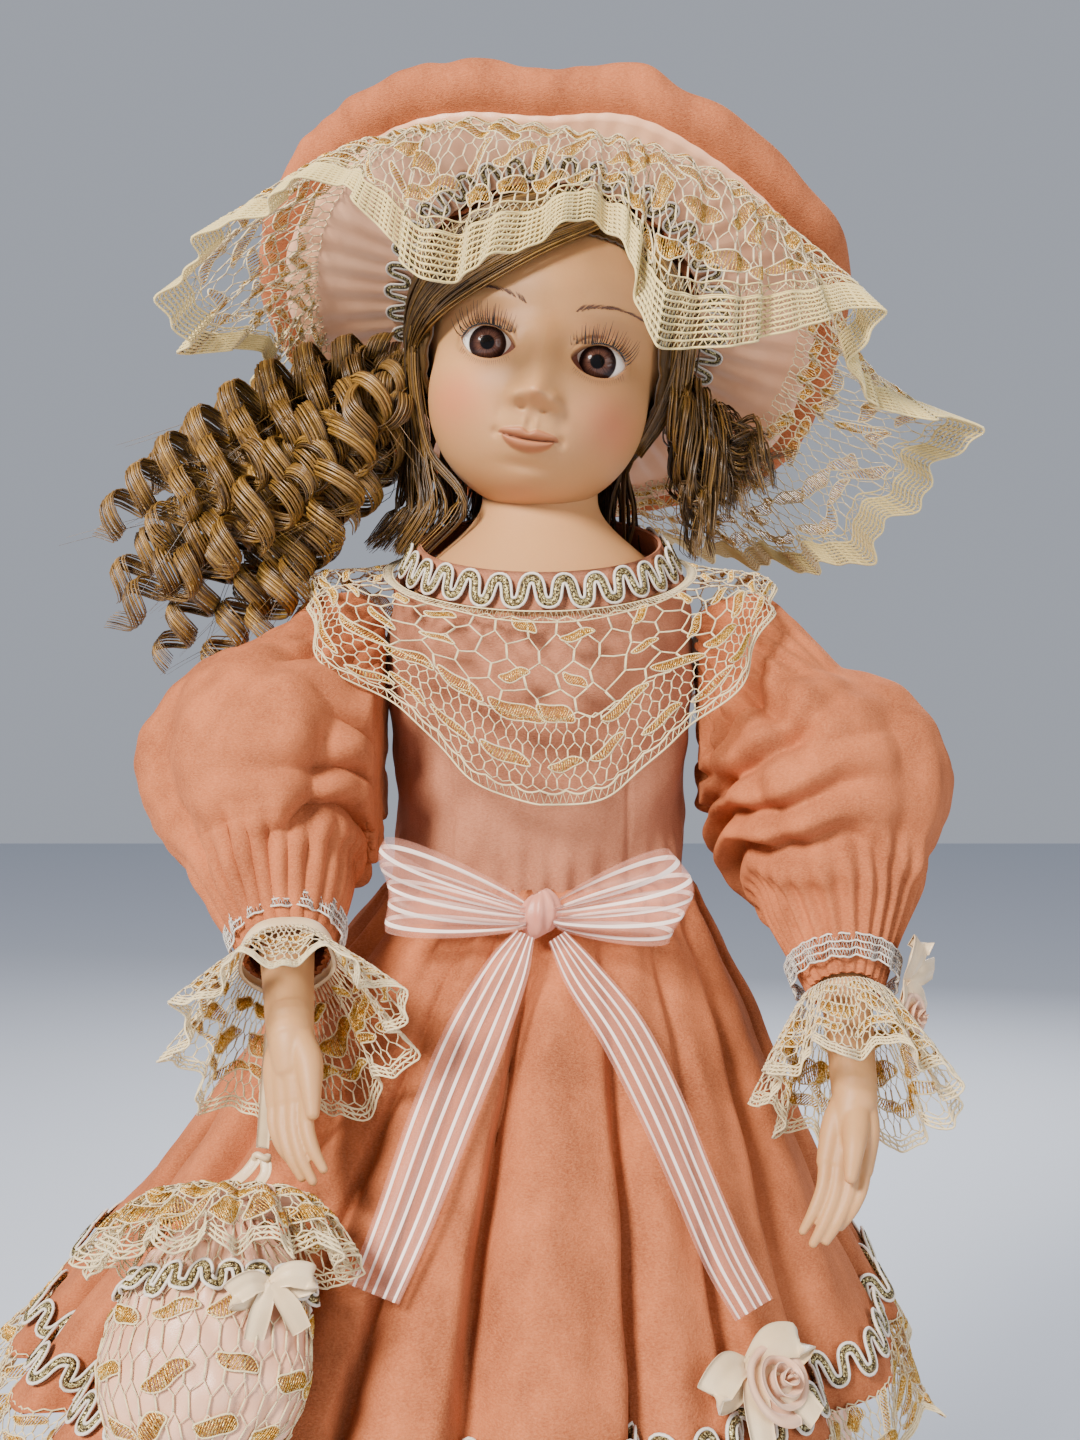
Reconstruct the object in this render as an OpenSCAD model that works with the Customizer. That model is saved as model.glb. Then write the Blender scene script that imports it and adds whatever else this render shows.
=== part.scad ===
// Dressed porcelain doll on a waist-clip stand: porcelain head, hands and lower legs on a stuffed cloth body,
// velvet dress with lace, a tilted velvet hat, and a small bag that hangs from the right wrist.
// Origin: centre of the stand's underside. The doll faces -Y, and her right side is at -X.

/* [Stand] */
// Diameter of the stand's base
base_d = 124; // [110:1:140]
// Top of the stand's base above the table
base_top = 10; // [8:1:12]
// Diameter of the sliding rod
rod_d = 5; // [4:0.5:6]
// Top of the fixed tube that the rod slides in
tube_top = 150; // [110:5:180]

/* [Skirts] */
// Height of the waist seam above the table
waist_z = 308; // [304:1:310]
// Height of the overskirt's hem above the table
overskirt_hem_z = 203; // [195:1:215]
// Radius of the overskirt at its hem
overskirt_hem_r = 110; // [104:1:114]
// Height of the underskirt's hem above the table
underskirt_hem_z = 42; // [30:1:60]
// Radius of the underskirt at its hem
underskirt_hem_r = 112; // [108:1:116]
// Sideways drift of the overskirt for each millimetre that it drops
overskirt_lean = 0.19; // [0.1:0.01:0.2]

/* [Head] */
// Sideways tilt of the head
head_roll = 10; // [0:1:12]
// Backward tilt of the hat on the head
hat_tilt = 39; // [30:1:42]
// Radius of the hat's brim
brim_r = 81; // [74:1:86]
// Radius of the skull
skull_r = 34; // [33:0.5:35]
// Radius of each eyeball
eye_r = 8.5; // [7.5:0.1:9]

/* [Purse] */
// Forward lean of the hanging purse, which rests against the skirt
purse_lean = 34; // [32:1:40]
// Height of the purse's bag
bag_h = 48; // [40:1:50]

/* [Hidden] */
$fn = 64;

velvet = [0.80, 0.49, 0.38];
velvet_shade = [0.68, 0.45, 0.39];
satin = [0.93, 0.74, 0.66];
cream = [0.93, 0.87, 0.68];
lace = [0.92, 0.84, 0.60];
braid = [0.30, 0.25, 0.15];
organza = [0.96, 0.74, 0.69];
bisque = [0.87, 0.71, 0.58];
cloth = [0.88, 0.80, 0.70];
hair = [0.50, 0.35, 0.14];
cotton = [0.95, 0.93, 0.88];

felt_t = 1.5;
post_y = 36;
clip_z = 292;
skull = [3, 2, 455];
jaw = [0, -11, -20];
jaw_r = 29;
porcelain_t = 2.5;
eye = [14, -24.5, -12];
cap_h = 20;
neck_r = 15.5;
neckline = [0, -4, 394];
neckline_tilt = 20;
shoulder_z = 370;
shoulder_right = [-50, 0, shoulder_z];
elbow_right = [-66, -22, 322];
wrist_right = [-55, -78, 284];
hand_tip_right = [-52, -92, 252];
shoulder_left = [50, 0, shoulder_z];
elbow_left = [77, -8, 318];
wrist_left = [74, -56, 264];
hand_tip_left = [66, -70, 231];
gather_at = 38;
cuff_at = 49;
hip = [17.5, 0, 252];
hip_r = 17;
knee_z = 155;
fit_gap = 0.3;
arm_plane = 41.5;
purse_pivot = [-60, -84, 258];
bag_top = 14;
clip_ring_r = 28.5;
brim_z = 14;
brim_inner = sqrt((skull_r + 7) * (skull_r + 7) - brim_z * brim_z) + 0.8;
tail_gap = 2.5;

// ---- helpers ----

// Puts the child's Z axis on the line from a to b, with its origin at a.
module along(a, b) {
    d = b - a;
    translate(a) rotate([0, acos(d.z / norm(d)), atan2(d.y, d.x)]) children();
}

// A thin wall of revolution: the outer profile is a list of [radius, height], from one end to the other.
module revolved_wall(outer, wall) {
    inner = [for (i = [len(outer) - 1:-1:0]) [outer[i].x - wall, outer[i].y]];
    rotate_extrude() polygon(concat(outer, inner));
}

// Shifts everything sideways by lean for each millimetre below the height top.
module leaning(lean, top) {
    multmatrix([[1, 0, lean, -lean * top], [0, 1, 0, 0], [0, 0, 1, 0], [0, 0, 0, 1]]) children();
}

// A closed sheet between rows of points: each row is a ring of points, front[row][i], and back is the other face.
module thick_ring(front, back) {
    n = len(front[0]);
    rows = len(front);
    points = concat([for (row = front) each row], [for (row = back) each row]);
    half = n * rows;
    function at(side, row, i) = side * half + row * n + i % n;
    faces = concat(
        [for (r = [0:rows - 2], i = [0:n - 1])
            [at(0, r, i), at(0, r, i + 1), at(0, r + 1, i + 1), at(0, r + 1, i)]],
        [for (r = [0:rows - 2], i = [0:n - 1])
            [at(1, r, i), at(1, r + 1, i), at(1, r + 1, i + 1), at(1, r, i + 1)]],
        [for (i = [0:n - 1]) [at(0, 0, i), at(1, 0, i), at(1, 0, i + 1), at(0, 0, i + 1)]],
        [for (i = [0:n - 1])
            [at(0, rows - 1, i), at(0, rows - 1, i + 1), at(1, rows - 1, i + 1), at(1, rows - 1, i)]]);
    polyhedron(points, faces, convexity = 8);
}

// A gathered frill about the Z axis: from the seam [r, z] to the free edge [r, z], with waves that grow to it.
module frill(seam, edge, waves, depth, wall = 0.8, rows = 2) {
    n = waves * 6;
    function ring(s, out) = [for (i = [0:n - 1])
        let (a = 360 * i / n, r = seam.x + (edge.x - seam.x) * s + depth * s * sin(waves * a) + out)
        [r * cos(a), r * sin(a), seam.y + (edge.y - seam.y) * s + depth * 0.4 * s * cos(waves * a)]];
    thick_ring([for (k = [0:rows]) ring(k / rows, 0)], [for (k = [0:rows]) ring(k / rows, wall)]);
}

module in_head_frame() {
    translate(skull) rotate([0, head_roll, 0]) children();
}

module in_hat_frame() {
    in_head_frame() rotate([-hat_tilt, 0, 0]) children();
}

module in_neckline_frame() {
    translate(neckline) rotate([neckline_tilt, 0, 0]) children();
}

module in_purse_frame() {
    translate(purse_pivot) rotate([-purse_lean, 0, 0]) children();
}

// ---- stand ----

module base_felt() {
    color([0.15, 0.25, 0.18]) cylinder(r = base_d / 2 - 4, h = felt_t);
}

module stand_base() {
    r = base_d / 2;
    color([0.35, 0.20, 0.11]) difference() {
        rotate_extrude() polygon(concat(
            [[0, felt_t], [r, felt_t]],
            [for (a = [0:15:90]) [r - 4 + 4 * cos(a), base_top - 4 + 4 * sin(a)]],
            [[0, base_top]]));
        translate([0, post_y, base_top - 6]) cylinder(r = rod_d / 2 + 1.5, h = 10);
    }
}

module stand_tube() {
    color([0.75, 0.75, 0.76]) translate([0, post_y, base_top - 6]) difference() {
        cylinder(r = rod_d / 2 + 1.5, h = tube_top - base_top + 6);
        translate([0, 0, -1]) cylinder(r = rod_d / 2 + 0.08, h = tube_top);
    }
}

module stand_rod() {
    color([0.75, 0.75, 0.76]) translate([0, post_y, 40]) cylinder(r = rod_d / 2, h = clip_z - 40);
}

module waist_clip() {
    open_half = 45;
    ring_r = clip_ring_r;
    color([0.92, 0.92, 0.9]) {
        difference() {
            union() {
                translate([0, 0, clip_z]) rotate([0, 0, -90 + open_half])
                    rotate_extrude(angle = 360 - 2 * open_half) translate([ring_r, 0]) circle(r = 1.4);
                translate([0, post_y, clip_z - 8]) cylinder(r = rod_d / 2 + 1.1, h = 10);
                translate([-2, ring_r - 0.5, clip_z - 1.2]) cube([4, post_y - ring_r, 2.4]);
            }
            translate([0, post_y, clip_z - 9]) cylinder(r = rod_d / 2, h = 9);
        }
        for (side = [-1, 1])
            translate([side * ring_r * sin(open_half), -ring_r * cos(open_half), clip_z]) sphere(r = 2.2);
    }
}

// ---- head ----

module head_outside(inset = 0) {
    sphere(r = skull_r - inset);
    translate(jaw) sphere(r = jaw_r - inset);
}

module head() {
    plate = [[15, 16], [19, 12.5], [26, 8.5], [31.5, 3.5], [34, -3], [34.5, -10]];
    color(bisque) difference() {
        union() {
            in_head_frame() {
                head_outside();
                translate([0, -39, -27]) sphere(r = 4);
            }
            translate([0, 2, 392]) cylinder(r = neck_r, h = 35);
            in_neckline_frame() rotate_extrude() polygon(concat([[0, 16]], plate, [[0, -10]]));
        }
        in_head_frame() {
            head_outside(porcelain_t);
            translate([-50, -50, cap_h]) cube(100);
            for (side = [-1, 1]) translate([side * eye.x, eye.y, eye.z]) {
                sphere(r = eye_r + 0.1);
                rotate([90, 0, 0]) cylinder(r = eye_r * 0.66, h = 20);
            }
        }
        translate([0, 2, 380]) cylinder(r = neck_r - porcelain_t, h = 50);
        in_neckline_frame() rotate_extrude()
            polygon(concat([[0, 13]], [for (p = plate) [p.x - porcelain_t, p.y - 1.5]],
                [[plate[5].x - porcelain_t, -14], [0, -14]]));
    }
}

module crown_cap() {
    color([0.9, 0.9, 0.88]) in_head_frame() difference() {
        sphere(r = skull_r);
        sphere(r = skull_r - porcelain_t);
        translate([-50, -50, cap_h + 0.2 - 100]) cube(100);
    }
}

module eye_ball(side) {
    color([0.25, 0.13, 0.08]) in_head_frame()
        translate([side * eye.x, eye.y, eye.z]) sphere(r = eye_r);
}

module eyelashes(side) {
    color([0.15, 0.1, 0.07]) in_head_frame() difference() {
        translate([side * eye.x, eye.y - eye_r, eye.z]) rotate([90, 0, 0]) rotate([0, 0, 20])
            rotate_extrude(angle = 140) polygon([[5, 0.5], [5.4, 0.5], [9, 7], [8.6, 7]]);
        head_outside(-0.15);
    }
}

module wig() {
    color(hair) in_head_frame() difference() {
        union() {
            sphere(r = skull_r + 3.5);
            translate([-5, 25, -28]) sphere(r = 13);
            for (side = [-1, 1])
                translate([side * 35, 2, -36]) cylinder(r1 = 5, r2 = 8, h = 30);
        }
        sphere(r = skull_r + 0.5);
        translate(jaw) sphere(r = jaw_r + 0.6);
        translate([-50, -60, -70]) cube([100, 50, 84]);
        rotate([0, -head_roll, 0]) translate([-skull.x, 0, -70]) cylinder(r = neck_r + 0.7, h = 60);
    }
}

// The curls gathered at the right side, as the masses that they fill.
module ringlets() {
    masses = [
        [[-56, 8, 432, 9], [-60, 4, 414, 11]],
        [[-64, 6, 436, 10], [-84, 2, 418, 12]],
        [[-88, 0, 416, 11], [-107, -2, 398, 11]],
        [[-70, 4, 404, 13], [-96, 4, 396, 13]],
        [[-96, 6, 388, 9], [-100, 8, 376, 8]]];
    color(hair) for (m = masses) hull() for (p = m)
        translate([p.x, p.y, p.z]) sphere(r = p[3], $fn = 20);
}

// ---- body ----

module torso() {
    outline = [[0, 250], [22, 250], [27, 262], [26, 278], [24, 296], [24, 310], [27, 332],
        [30, 352], [31, 362], [29, 372], [22, 381], [0, 386]];
    color(cloth) difference() {
        union() {
            rotate_extrude() polygon(outline);
            translate([-37.6, 0, shoulder_z]) rotate([0, 90, 0]) cylinder(r = 9, h = 75.2);
        }
        for (side = [-1, 1]) {
            translate([side * hip.x, hip.y, hip.z]) sphere(r = hip_r + fit_gap);
            translate([side * shoulder_left.x, 0, shoulder_z]) sphere(r = 12);
        }
    }
}

module bodice() {
    wall = 1.4;
    outer = [[38.5, waist_z + 2], [38, 322], [39, 340], [41, 356], [41, 372], [39.5, 384],
        [37.8, 396], [37, 406]];
    color(velvet_shade) difference() {
        scale([1, 0.9, 1]) revolved_wall(outer, wall);
        in_neckline_frame() translate([-60, -60, -6]) cube([120, 120, 60]);
        translate([-60, 0, shoulder_z]) rotate([0, 90, 0]) cylinder(r = 13.5, h = 120);
    }
}

module neck_braid() {
    color(braid) in_neckline_frame() rotate_extrude()
        polygon([[32.6, 4], [33.8, 4.6], [37.4, -3], [36.2, -3.6]]);
}

module lace_collar() {
    n = 72;
    rows = 4;
    top_r = 40.5;
    tilt = [sin(neckline_tilt), cos(neckline_tilt)];
    function seam(a) = let (y = -top_r * cos(a))
        [top_r * sin(a), neckline.y + y * tilt[1] + 3 * tilt[0], neckline.z + y * tilt[0] - 3 * tilt[1]];
    function edge(a) = [62 * sin(a), -2 - 44 * cos(a), 330 + 56 * pow(abs(sin(a)), 1.15) + 1.2 * cos(12 * a)];
    function ring(s, lift) = [for (i = [0:n - 1]) let (a = -360 * i / n, p = seam(a), q = edge(a))
        p + (q - p) * s + [lift * sin(a), -lift * cos(a), lift * 0.6]];
    color(lace) thick_ring([for (k = [0:rows]) ring(k / rows, 0)], [for (k = [0:rows]) ring(k / rows, 0.7)]);
}

module back_snaps() {
    color([0.75, 0.75, 0.76]) for (z = [314, 326, 338])
        translate([0, 35.6, z]) rotate([-90, 0, 0]) cylinder(r = 2.2, h = 1.1);
}

// ---- waist bow ----

// One loop of the bow, seen from above: the ribbon runs out from the knot and back.
module ribbon_loop(side) {
    reach = 31;
    function outline(inset) = [for (a = [0:15:345])
        [reach / 2 * (1 - cos(a)) + 4.2, (3.4 - inset) * sin(a) * (1 - inset / 8) * (0.6 - 0.4 * cos(a))]];
    color(organza) translate([0, -50.5, waist_z - 9]) mirror([side > 0 ? 0 : 1, 0, 0]) linear_extrude(18)
        difference() {
            polygon(outline(0));
            intersection() {
                polygon(outline(0.6));
                translate([5.4, -10]) square([reach - 2, 20]);
            }
        }
}

module bow_loops() {
    for (side = [-1, 1]) ribbon_loop(side);
}

module bow_knot() {
    color(organza) translate([0, -50.5, waist_z - 3]) sphere(r = 4);
}

overskirt_profile = [[40.5, waist_z + 1], [45, 301], [63, 275], [90, 230], [overskirt_hem_r, overskirt_hem_z]];

function overskirt_radius(z) = lookup(z, [for (p = overskirt_profile) [p.y, p.x]]);

function overskirt_centre(z) = -overskirt_lean * (waist_z - z);

// The point on the front of the overskirt at the given x and z, lifted off it by gap.
function on_overskirt(x, z, gap) =
    let (r = overskirt_radius(z) + gap, dx = x - overskirt_centre(z))
    [x, -sqrt(r * r - dx * dx), z];

// A tail is a flat ribbon laid down the skirt from the knot: each station is [x, z, half width].
module ribbon_tail(stations) {
    wall = 0.6;
    function across(s) = [for (e = [[-1, 0], [1, 0], [1, 1], [-1, 1]])
        on_overskirt(s.x + e.x * s.z, s.y, tail_gap + e.y * wall)];
    points = [for (s = stations) each across(s)];
    last = len(stations) - 1;
    color(organza) polyhedron(points, concat(
        [[0, 1, 2, 3], [for (k = [3:-1:0]) last * 4 + k]],
        [for (s = [0:last - 1], k = [0:3])
            [s * 4 + k, (s + 1) * 4 + k, (s + 1) * 4 + (k + 1) % 4, s * 4 + (k + 1) % 4]]));
}

module bow_tail_right() {
    ribbon_tail([[-6, 297, 3], [-13, 288, 7], [-20, 270, 8], [-27, 248, 8], [-32, 230, 7.5], [-34, 217, 7]]);
}

module bow_tail_left() {
    ribbon_tail([[6, 297, 3], [13, 286, 5], [24, 268, 5.5], [33, 250, 6], [41, 234, 6], [47, 221, 6]]);
}

// ---- skirts ----

module overskirt() {
    color(velvet) leaning(overskirt_lean, waist_z) revolved_wall(overskirt_profile, 1.6);
}

module overskirt_braid() {
    r = overskirt_hem_r;
    z = overskirt_hem_z;
    color(braid) leaning(overskirt_lean, waist_z) rotate_extrude()
        polygon([[r + 0.3, z + 1], [r + 1.6, z + 1.8], [r - 4.6, z + 9.8], [r - 5.9, z + 9]]);
}

module overskirt_lace() {
    r = overskirt_hem_r;
    z = overskirt_hem_z;
    color(lace) leaning(overskirt_lean, waist_z) frill([r - 0.5, z - 1], [r + 17, z - 17], 20, 3);
}

// A ribbon rosette: turns of ribbon that rise to the middle, on the skirt's hem.
module rosette(r) {
    for (k = [0:3]) difference() {
        cylinder(r = r * (1 - 0.24 * k), h = r * (0.35 + 0.14 * k));
        translate([0, 0, r * 0.12]) cylinder(r = r * (0.85 - 0.24 * k), h = r);
    }
}

module hem_rose() {
    seat = on_overskirt(51, overskirt_hem_z + 5, 4.5);
    color(satin) along(seat, seat + [0.52, -0.61, 0.6]) rosette(9);
}

module underskirt() {
    outer = [[38.4, waist_z - 1], [42.5, 300], [52, 275], [88, 190], [underskirt_hem_r, underskirt_hem_z]];
    color(velvet) leaning(0.08, waist_z) revolved_wall(outer, 1.2);
}

module underskirt_lace() {
    r = underskirt_hem_r;
    z = underskirt_hem_z;
    color(lace) leaning(0.08, waist_z) frill([r + 0.4, z + 8], [r + 10, z - 16], 24, 2.5);
}

module petticoat() {
    outer = [[41, 299], [50, 275], [85.5, 190], [100, 70]];
    color(cotton) leaning(0.08, waist_z) revolved_wall(outer, 0.8);
}

module pantaloon_seat() {
    color(cotton) revolved_wall([[29.2, 267], [29, 276], [27, 286]], 1);
}

// ---- arms ----

module upper_arm(shoulder, elbow) {
    reach = norm(elbow - shoulder);
    color(cloth) along(shoulder, elbow) {
        sphere(r = 9.2);
        cylinder(r1 = 9.2, r2 = 8.5, h = reach - 9.4);
    }
}

// The body of a puffed sleeve, from the ball over the shoulder to the gathered end on the forearm.
module sleeve_body(shoulder, puff, gather, inset) {
    hull() {
        translate(shoulder) sphere(r = 15.5 - inset, $fn = 24);
        translate(puff) sphere(r = 33 - inset, $fn = 32);
        translate(gather) sphere(r = 12.5 - inset, $fn = 24);
    }
}

module sleeve(side, shoulder, puff, elbow, wrist) {
    gather = elbow + gather_at * (wrist - elbow) / norm(wrist - elbow);
    color(velvet) difference() {
        sleeve_body(shoulder, puff, gather, 0);
        sleeve_body(shoulder, puff, gather, 1.4);
        along(gather, wrist) cylinder(r = 10.4, h = 30);
        translate([side > 0 ? arm_plane - 200 : -arm_plane, -100, 200]) cube([200, 200, 250]);
    }
}

// Porcelain forearm and hand: bend is the elbow, the hand hangs from the wrist towards tip.
module forearm(elbow, wrist, tip, thumb_side) {
    down = (tip - wrist) / norm(tip - wrist);
    knuckle = wrist + 17 * down;
    color(bisque) {
        hull() {
            translate(elbow) sphere(r = 8.3, $fn = 24);
            translate(wrist) sphere(r = 5.6, $fn = 24);
        }
        hull() {
            translate(wrist) sphere(r = 5.4, $fn = 20);
            for (x = [-4, 4]) translate(knuckle + [x, 0, 0]) sphere(r = 4, $fn = 20);
        }
        hull() {
            for (x = [-4.5, 4.5]) translate(knuckle + [x, 0, 0]) sphere(r = 3.4, $fn = 16);
            for (x = [-3, 3]) translate(tip + [x, 2, 0]) sphere(r = 2.2, $fn = 16);
        }
        hull() {
            translate(wrist + 6 * down + [thumb_side * 3, -2, 0]) sphere(r = 3.4, $fn = 16);
            translate(wrist + 19 * down + [thumb_side * 8, -5, 0]) sphere(r = 2.2, $fn = 16);
        }
    }
}

module cuff_lace(elbow, wrist, flare) {
    color(lace) along(elbow, wrist) frill([10.2, cuff_at], [flare, cuff_at + 26], 9, 2.5);
}

// The cream ribbon tied round the end of the right sleeve, with the strand that runs out under the lace.
module wrist_ribbon() {
    axis = (wrist_right - elbow_right) / norm(wrist_right - elbow_right);
    ring = elbow_right + (gather_at + 7.5) * axis;
    reach = purse_pivot - elbow_right;
    below = reach - (reach * axis) * axis;
    strand_top = ring + 8 * below / norm(below);
    color(cream) {
        along(ring, wrist_right) difference() {
            cylinder(r = 10.6, h = 2.6);
            translate([0, 0, -1]) cylinder(r = 8.6, h = 5);
        }
        along(strand_top, purse_pivot) translate([-0.3, -1.2, 0]) cube([0.6, 2.4, norm(purse_pivot - strand_top) - 1]);
    }
}

module cuff_rose() {
    seat = elbow_left + 48 * (wrist_left - elbow_left) / norm(wrist_left - elbow_left) + [14, 0, 0];
    color(satin) along(seat, seat + [10, -1.5, 1]) rosette(7);
}

// ---- purse ----

module purse_ribbon() {
    color(cream) in_purse_frame() translate([-1.5, -0.3, -bag_top + 1]) cube([3, 0.6, bag_top - 2]);
}

module purse_bag() {
    outer = [[0, -bag_h], [9, -bag_h + 1], [17, -bag_h + 8], [21, -bag_h + 20], [20, -bag_h + 32], [13, -8],
        [5, -1], [0, -1]];
    color(satin) in_purse_frame() translate([0, 0, -bag_top]) scale([1, 0.6, 1])
        rotate_extrude() polygon(outer);
}

module purse_frill() {
    color(lace) in_purse_frame() translate([0, 0, -bag_top]) scale([1, 0.6, 1])
        frill([8, 1], [24, -12], 9, 2);
}

// ---- legs ----

module thigh(side) {
    color(cloth) translate([side * hip.x, hip.y, 0]) {
        translate([0, 0, hip.z]) sphere(r = hip_r);
        translate([0, 0, knee_z]) cylinder(r1 = 12.5, r2 = 15.4, h = hip.z - knee_z);
    }
}

module pantaloon(side) {
    color(cotton) translate([side * hip.x, hip.y, 0])
        revolved_wall([[17.2, 234], [17.2, 104], [17.4, 96]], 1);
}

module foot(grow = 0) {
    hull() {
        translate([0, 5, 20]) sphere(r = 6.5 + grow, $fn = 24);
        translate([0, 3, 30]) sphere(r = 6.5 + grow, $fn = 24);
        translate([0, -22, 18]) sphere(r = 4.5 + grow, $fn = 24);
    }
}

module lower_leg(side) {
    calf = [[0, knee_z - 0.3], [12, knee_z - 0.3], [12.6, 128], [8.4, 55], [7.2, 34], [6.8, 26], [0, 26]];
    color(bisque) translate([side * hip.x, 0, 0]) {
        rotate_extrude() polygon(calf);
        foot();
    }
}

module shoe(side) {
    color([0.95, 0.9, 0.84]) translate([side * hip.x, 0, 0]) difference() {
        foot(1.8);
        foot(0.2);
        translate([-20, -60, -20 + base_top + 2.6]) cube([40, 100, 20]);
        translate([-20, -14, 24]) cube([40, 40, 30]);
    }
}

module shoe_sole(side) {
    color([0.5, 0.33, 0.2]) translate([side * hip.x, 0, base_top + fit_gap]) linear_extrude(2.3) hull() {
        translate([0, 5]) circle(r = 7);
        translate([0, -22]) circle(r = 5.6);
    }
}

// ---- hat ----

module hat_crown() {
    color(velvet) in_hat_frame() difference() {
        sphere(r = skull_r + 7);
        sphere(r = skull_r + 5.5);
        translate([-60, -60, brim_z - 101.5]) cube([120, 120, 100]);
    }
}

module hat_brim() {
    color(velvet) in_hat_frame() translate([0, 0, brim_z]) rotate_extrude()
        polygon([[brim_inner, 0], [brim_r - 11, 2], [brim_r - 3, 1.5], [brim_r, 5], [brim_r - 3, 9],
            [brim_r - 11, 8], [brim_inner, 3]]);
}

module hat_lining() {
    color(satin) in_hat_frame() translate([0, 0, brim_z]) rotate_extrude()
        polygon([[brim_inner, -1.8], [brim_r - 9, 0], [brim_r - 9, 1], [brim_inner, -0.3]]);
}

module hat_lace() {
    n = 108;
    rows = 3;
    seam_r = 64;
    seam_z = brim_z - 1.7;
    function edge_r(a) = 92 - 36 * pow(max(cos(a), 0), 1.5) - 22 * max(-cos(a), 0) + 5 * sin(9 * a);
    function edge_z(a) = -12 - 25 * pow(max(cos(a), 0), 1.5) + 14 * max(-cos(a), 0) + 4 * cos(9 * a);
    function ring(s, lift) = [for (i = [0:n - 1]) let (a = -360 * i / n,
        r = seam_r + (edge_r(a) - seam_r) * s + lift * 0.6, z = seam_z + (edge_z(a) - seam_z) * s + lift * 0.3)
        [r * sin(a), -r * cos(a), z]];
    color(lace) in_hat_frame()
        thick_ring([for (k = [0:rows]) ring(k / rows, 0)], [for (k = [0:rows]) ring(k / rows, 1)]);
}

module hat_braid() {
    color(braid) in_hat_frame() translate([0, 0, brim_z]) rotate_extrude()
        polygon([[brim_inner + 0.6, -3.8], [brim_inner + 8.6, -3.2], [brim_inner + 8.6, -2], [brim_inner + 0.6, -2.4]]);
}

// ---- assembly ----

base_felt();
stand_base();
stand_tube();
stand_rod();
waist_clip();
torso();
head();
crown_cap();
eye_ball(-1);  // eye_right
eye_ball(1);  // eye_left
eyelashes(-1);  // eyelashes_right
eyelashes(1);  // eyelashes_left
wig();
ringlets();
bodice();
neck_braid();
lace_collar();
back_snaps();
bow_loops();
bow_knot();
bow_tail_right();
bow_tail_left();
overskirt();
overskirt_braid();
overskirt_lace();
hem_rose();
underskirt();
underskirt_lace();
petticoat();
pantaloon_seat();
upper_arm(shoulder_right, elbow_right);  // upper_arm_right
sleeve(-1, [-54, -2, 369], [-67, -27, 337], elbow_right, wrist_right);  // sleeve_right
forearm(elbow_right, wrist_right, hand_tip_right, 1);  // forearm_right
cuff_lace(elbow_right, wrist_right, 23);  // cuff_lace_right
wrist_ribbon();
purse_ribbon();
purse_bag();
purse_frill();
upper_arm(shoulder_left, elbow_left);  // upper_arm_left
sleeve(1, [54, -2, 369], [74, -9, 335], elbow_left, wrist_left);  // sleeve_left
forearm(elbow_left, wrist_left, hand_tip_left, -1);  // forearm_left
cuff_lace(elbow_left, wrist_left, 20);  // cuff_lace_left
cuff_rose();
thigh(-1);  // thigh_right
pantaloon(-1);  // pantaloon_right
lower_leg(-1);  // lower_leg_right
shoe(-1);  // shoe_right
shoe_sole(-1);  // shoe_sole_right
thigh(1);  // thigh_left
pantaloon(1);  // pantaloon_left
lower_leg(1);  // lower_leg_left
shoe(1);  // shoe_left
shoe_sole(1);  // shoe_sole_left
hat_crown();
hat_brim();
hat_lining();
hat_lace();
hat_braid();
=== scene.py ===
"""The looks of a dressed porcelain doll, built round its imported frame.

Lengths are millimetres in the shared frame, with +Z up and the doll facing -Y. They become metres
where a mesh is made.
"""

import math

import bpy
import numpy as np
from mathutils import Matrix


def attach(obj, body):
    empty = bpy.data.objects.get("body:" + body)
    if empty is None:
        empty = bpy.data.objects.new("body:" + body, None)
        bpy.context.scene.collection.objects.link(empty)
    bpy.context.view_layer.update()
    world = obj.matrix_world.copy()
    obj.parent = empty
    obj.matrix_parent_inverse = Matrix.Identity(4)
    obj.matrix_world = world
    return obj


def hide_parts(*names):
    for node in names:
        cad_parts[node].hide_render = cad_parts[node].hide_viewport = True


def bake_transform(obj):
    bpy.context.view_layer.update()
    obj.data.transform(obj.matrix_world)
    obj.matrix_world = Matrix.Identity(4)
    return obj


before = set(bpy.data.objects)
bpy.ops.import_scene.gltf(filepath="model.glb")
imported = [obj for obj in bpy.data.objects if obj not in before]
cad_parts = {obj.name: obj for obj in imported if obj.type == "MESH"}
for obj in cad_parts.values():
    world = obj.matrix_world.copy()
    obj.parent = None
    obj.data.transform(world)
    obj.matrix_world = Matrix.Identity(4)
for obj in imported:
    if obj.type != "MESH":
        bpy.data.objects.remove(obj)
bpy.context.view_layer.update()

MM = 0.001
TURN = 2 * math.pi

# ---- sizes that the frame's pieces were built to ----

SKULL = np.array([3.0, 2.0, 455.0])
HEAD_ROLL = math.radians(10)
HAT_TILT = math.radians(39)
SKULL_R = 34.0
JAW = np.array([0.0, -11.0, -20.0])
JAW_R = 29.0
EYE = np.array([14.0, -24.5, -12.0])
EYE_R = 8.5
EYE_HALF = 7.0  # half the width of the opening between the lids
IRIS_R = 4.6
HEAD_MIDDLE = np.array([0.0, -8.0, -12.0])  # inside skull and jaw, in the head's own frame
NECKLINE = np.array([0.0, -4.0, 394.0])
NECKLINE_TILT = math.radians(20)
WAIST_Z = 308.0
BRIM_Z = 14.0
BRIM_R = 81.0
HAT_OPENING_R = math.sqrt((SKULL_R + 7) ** 2 - BRIM_Z**2) + 0.8
ARM_PLANE = 41.7  # the arms stay at least this far from the doll's middle
CUFF_AT = 49.0  # along the forearm from the elbow, as is the next
GATHER_AT = 38.0
PURSE_LEAN = math.radians(34)
PURSE_PIVOT = np.array([-60.0, -84.0, 258.0])
PURSE_SHIFT = 6.5  # how far the bag hangs aside of its pivot
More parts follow.
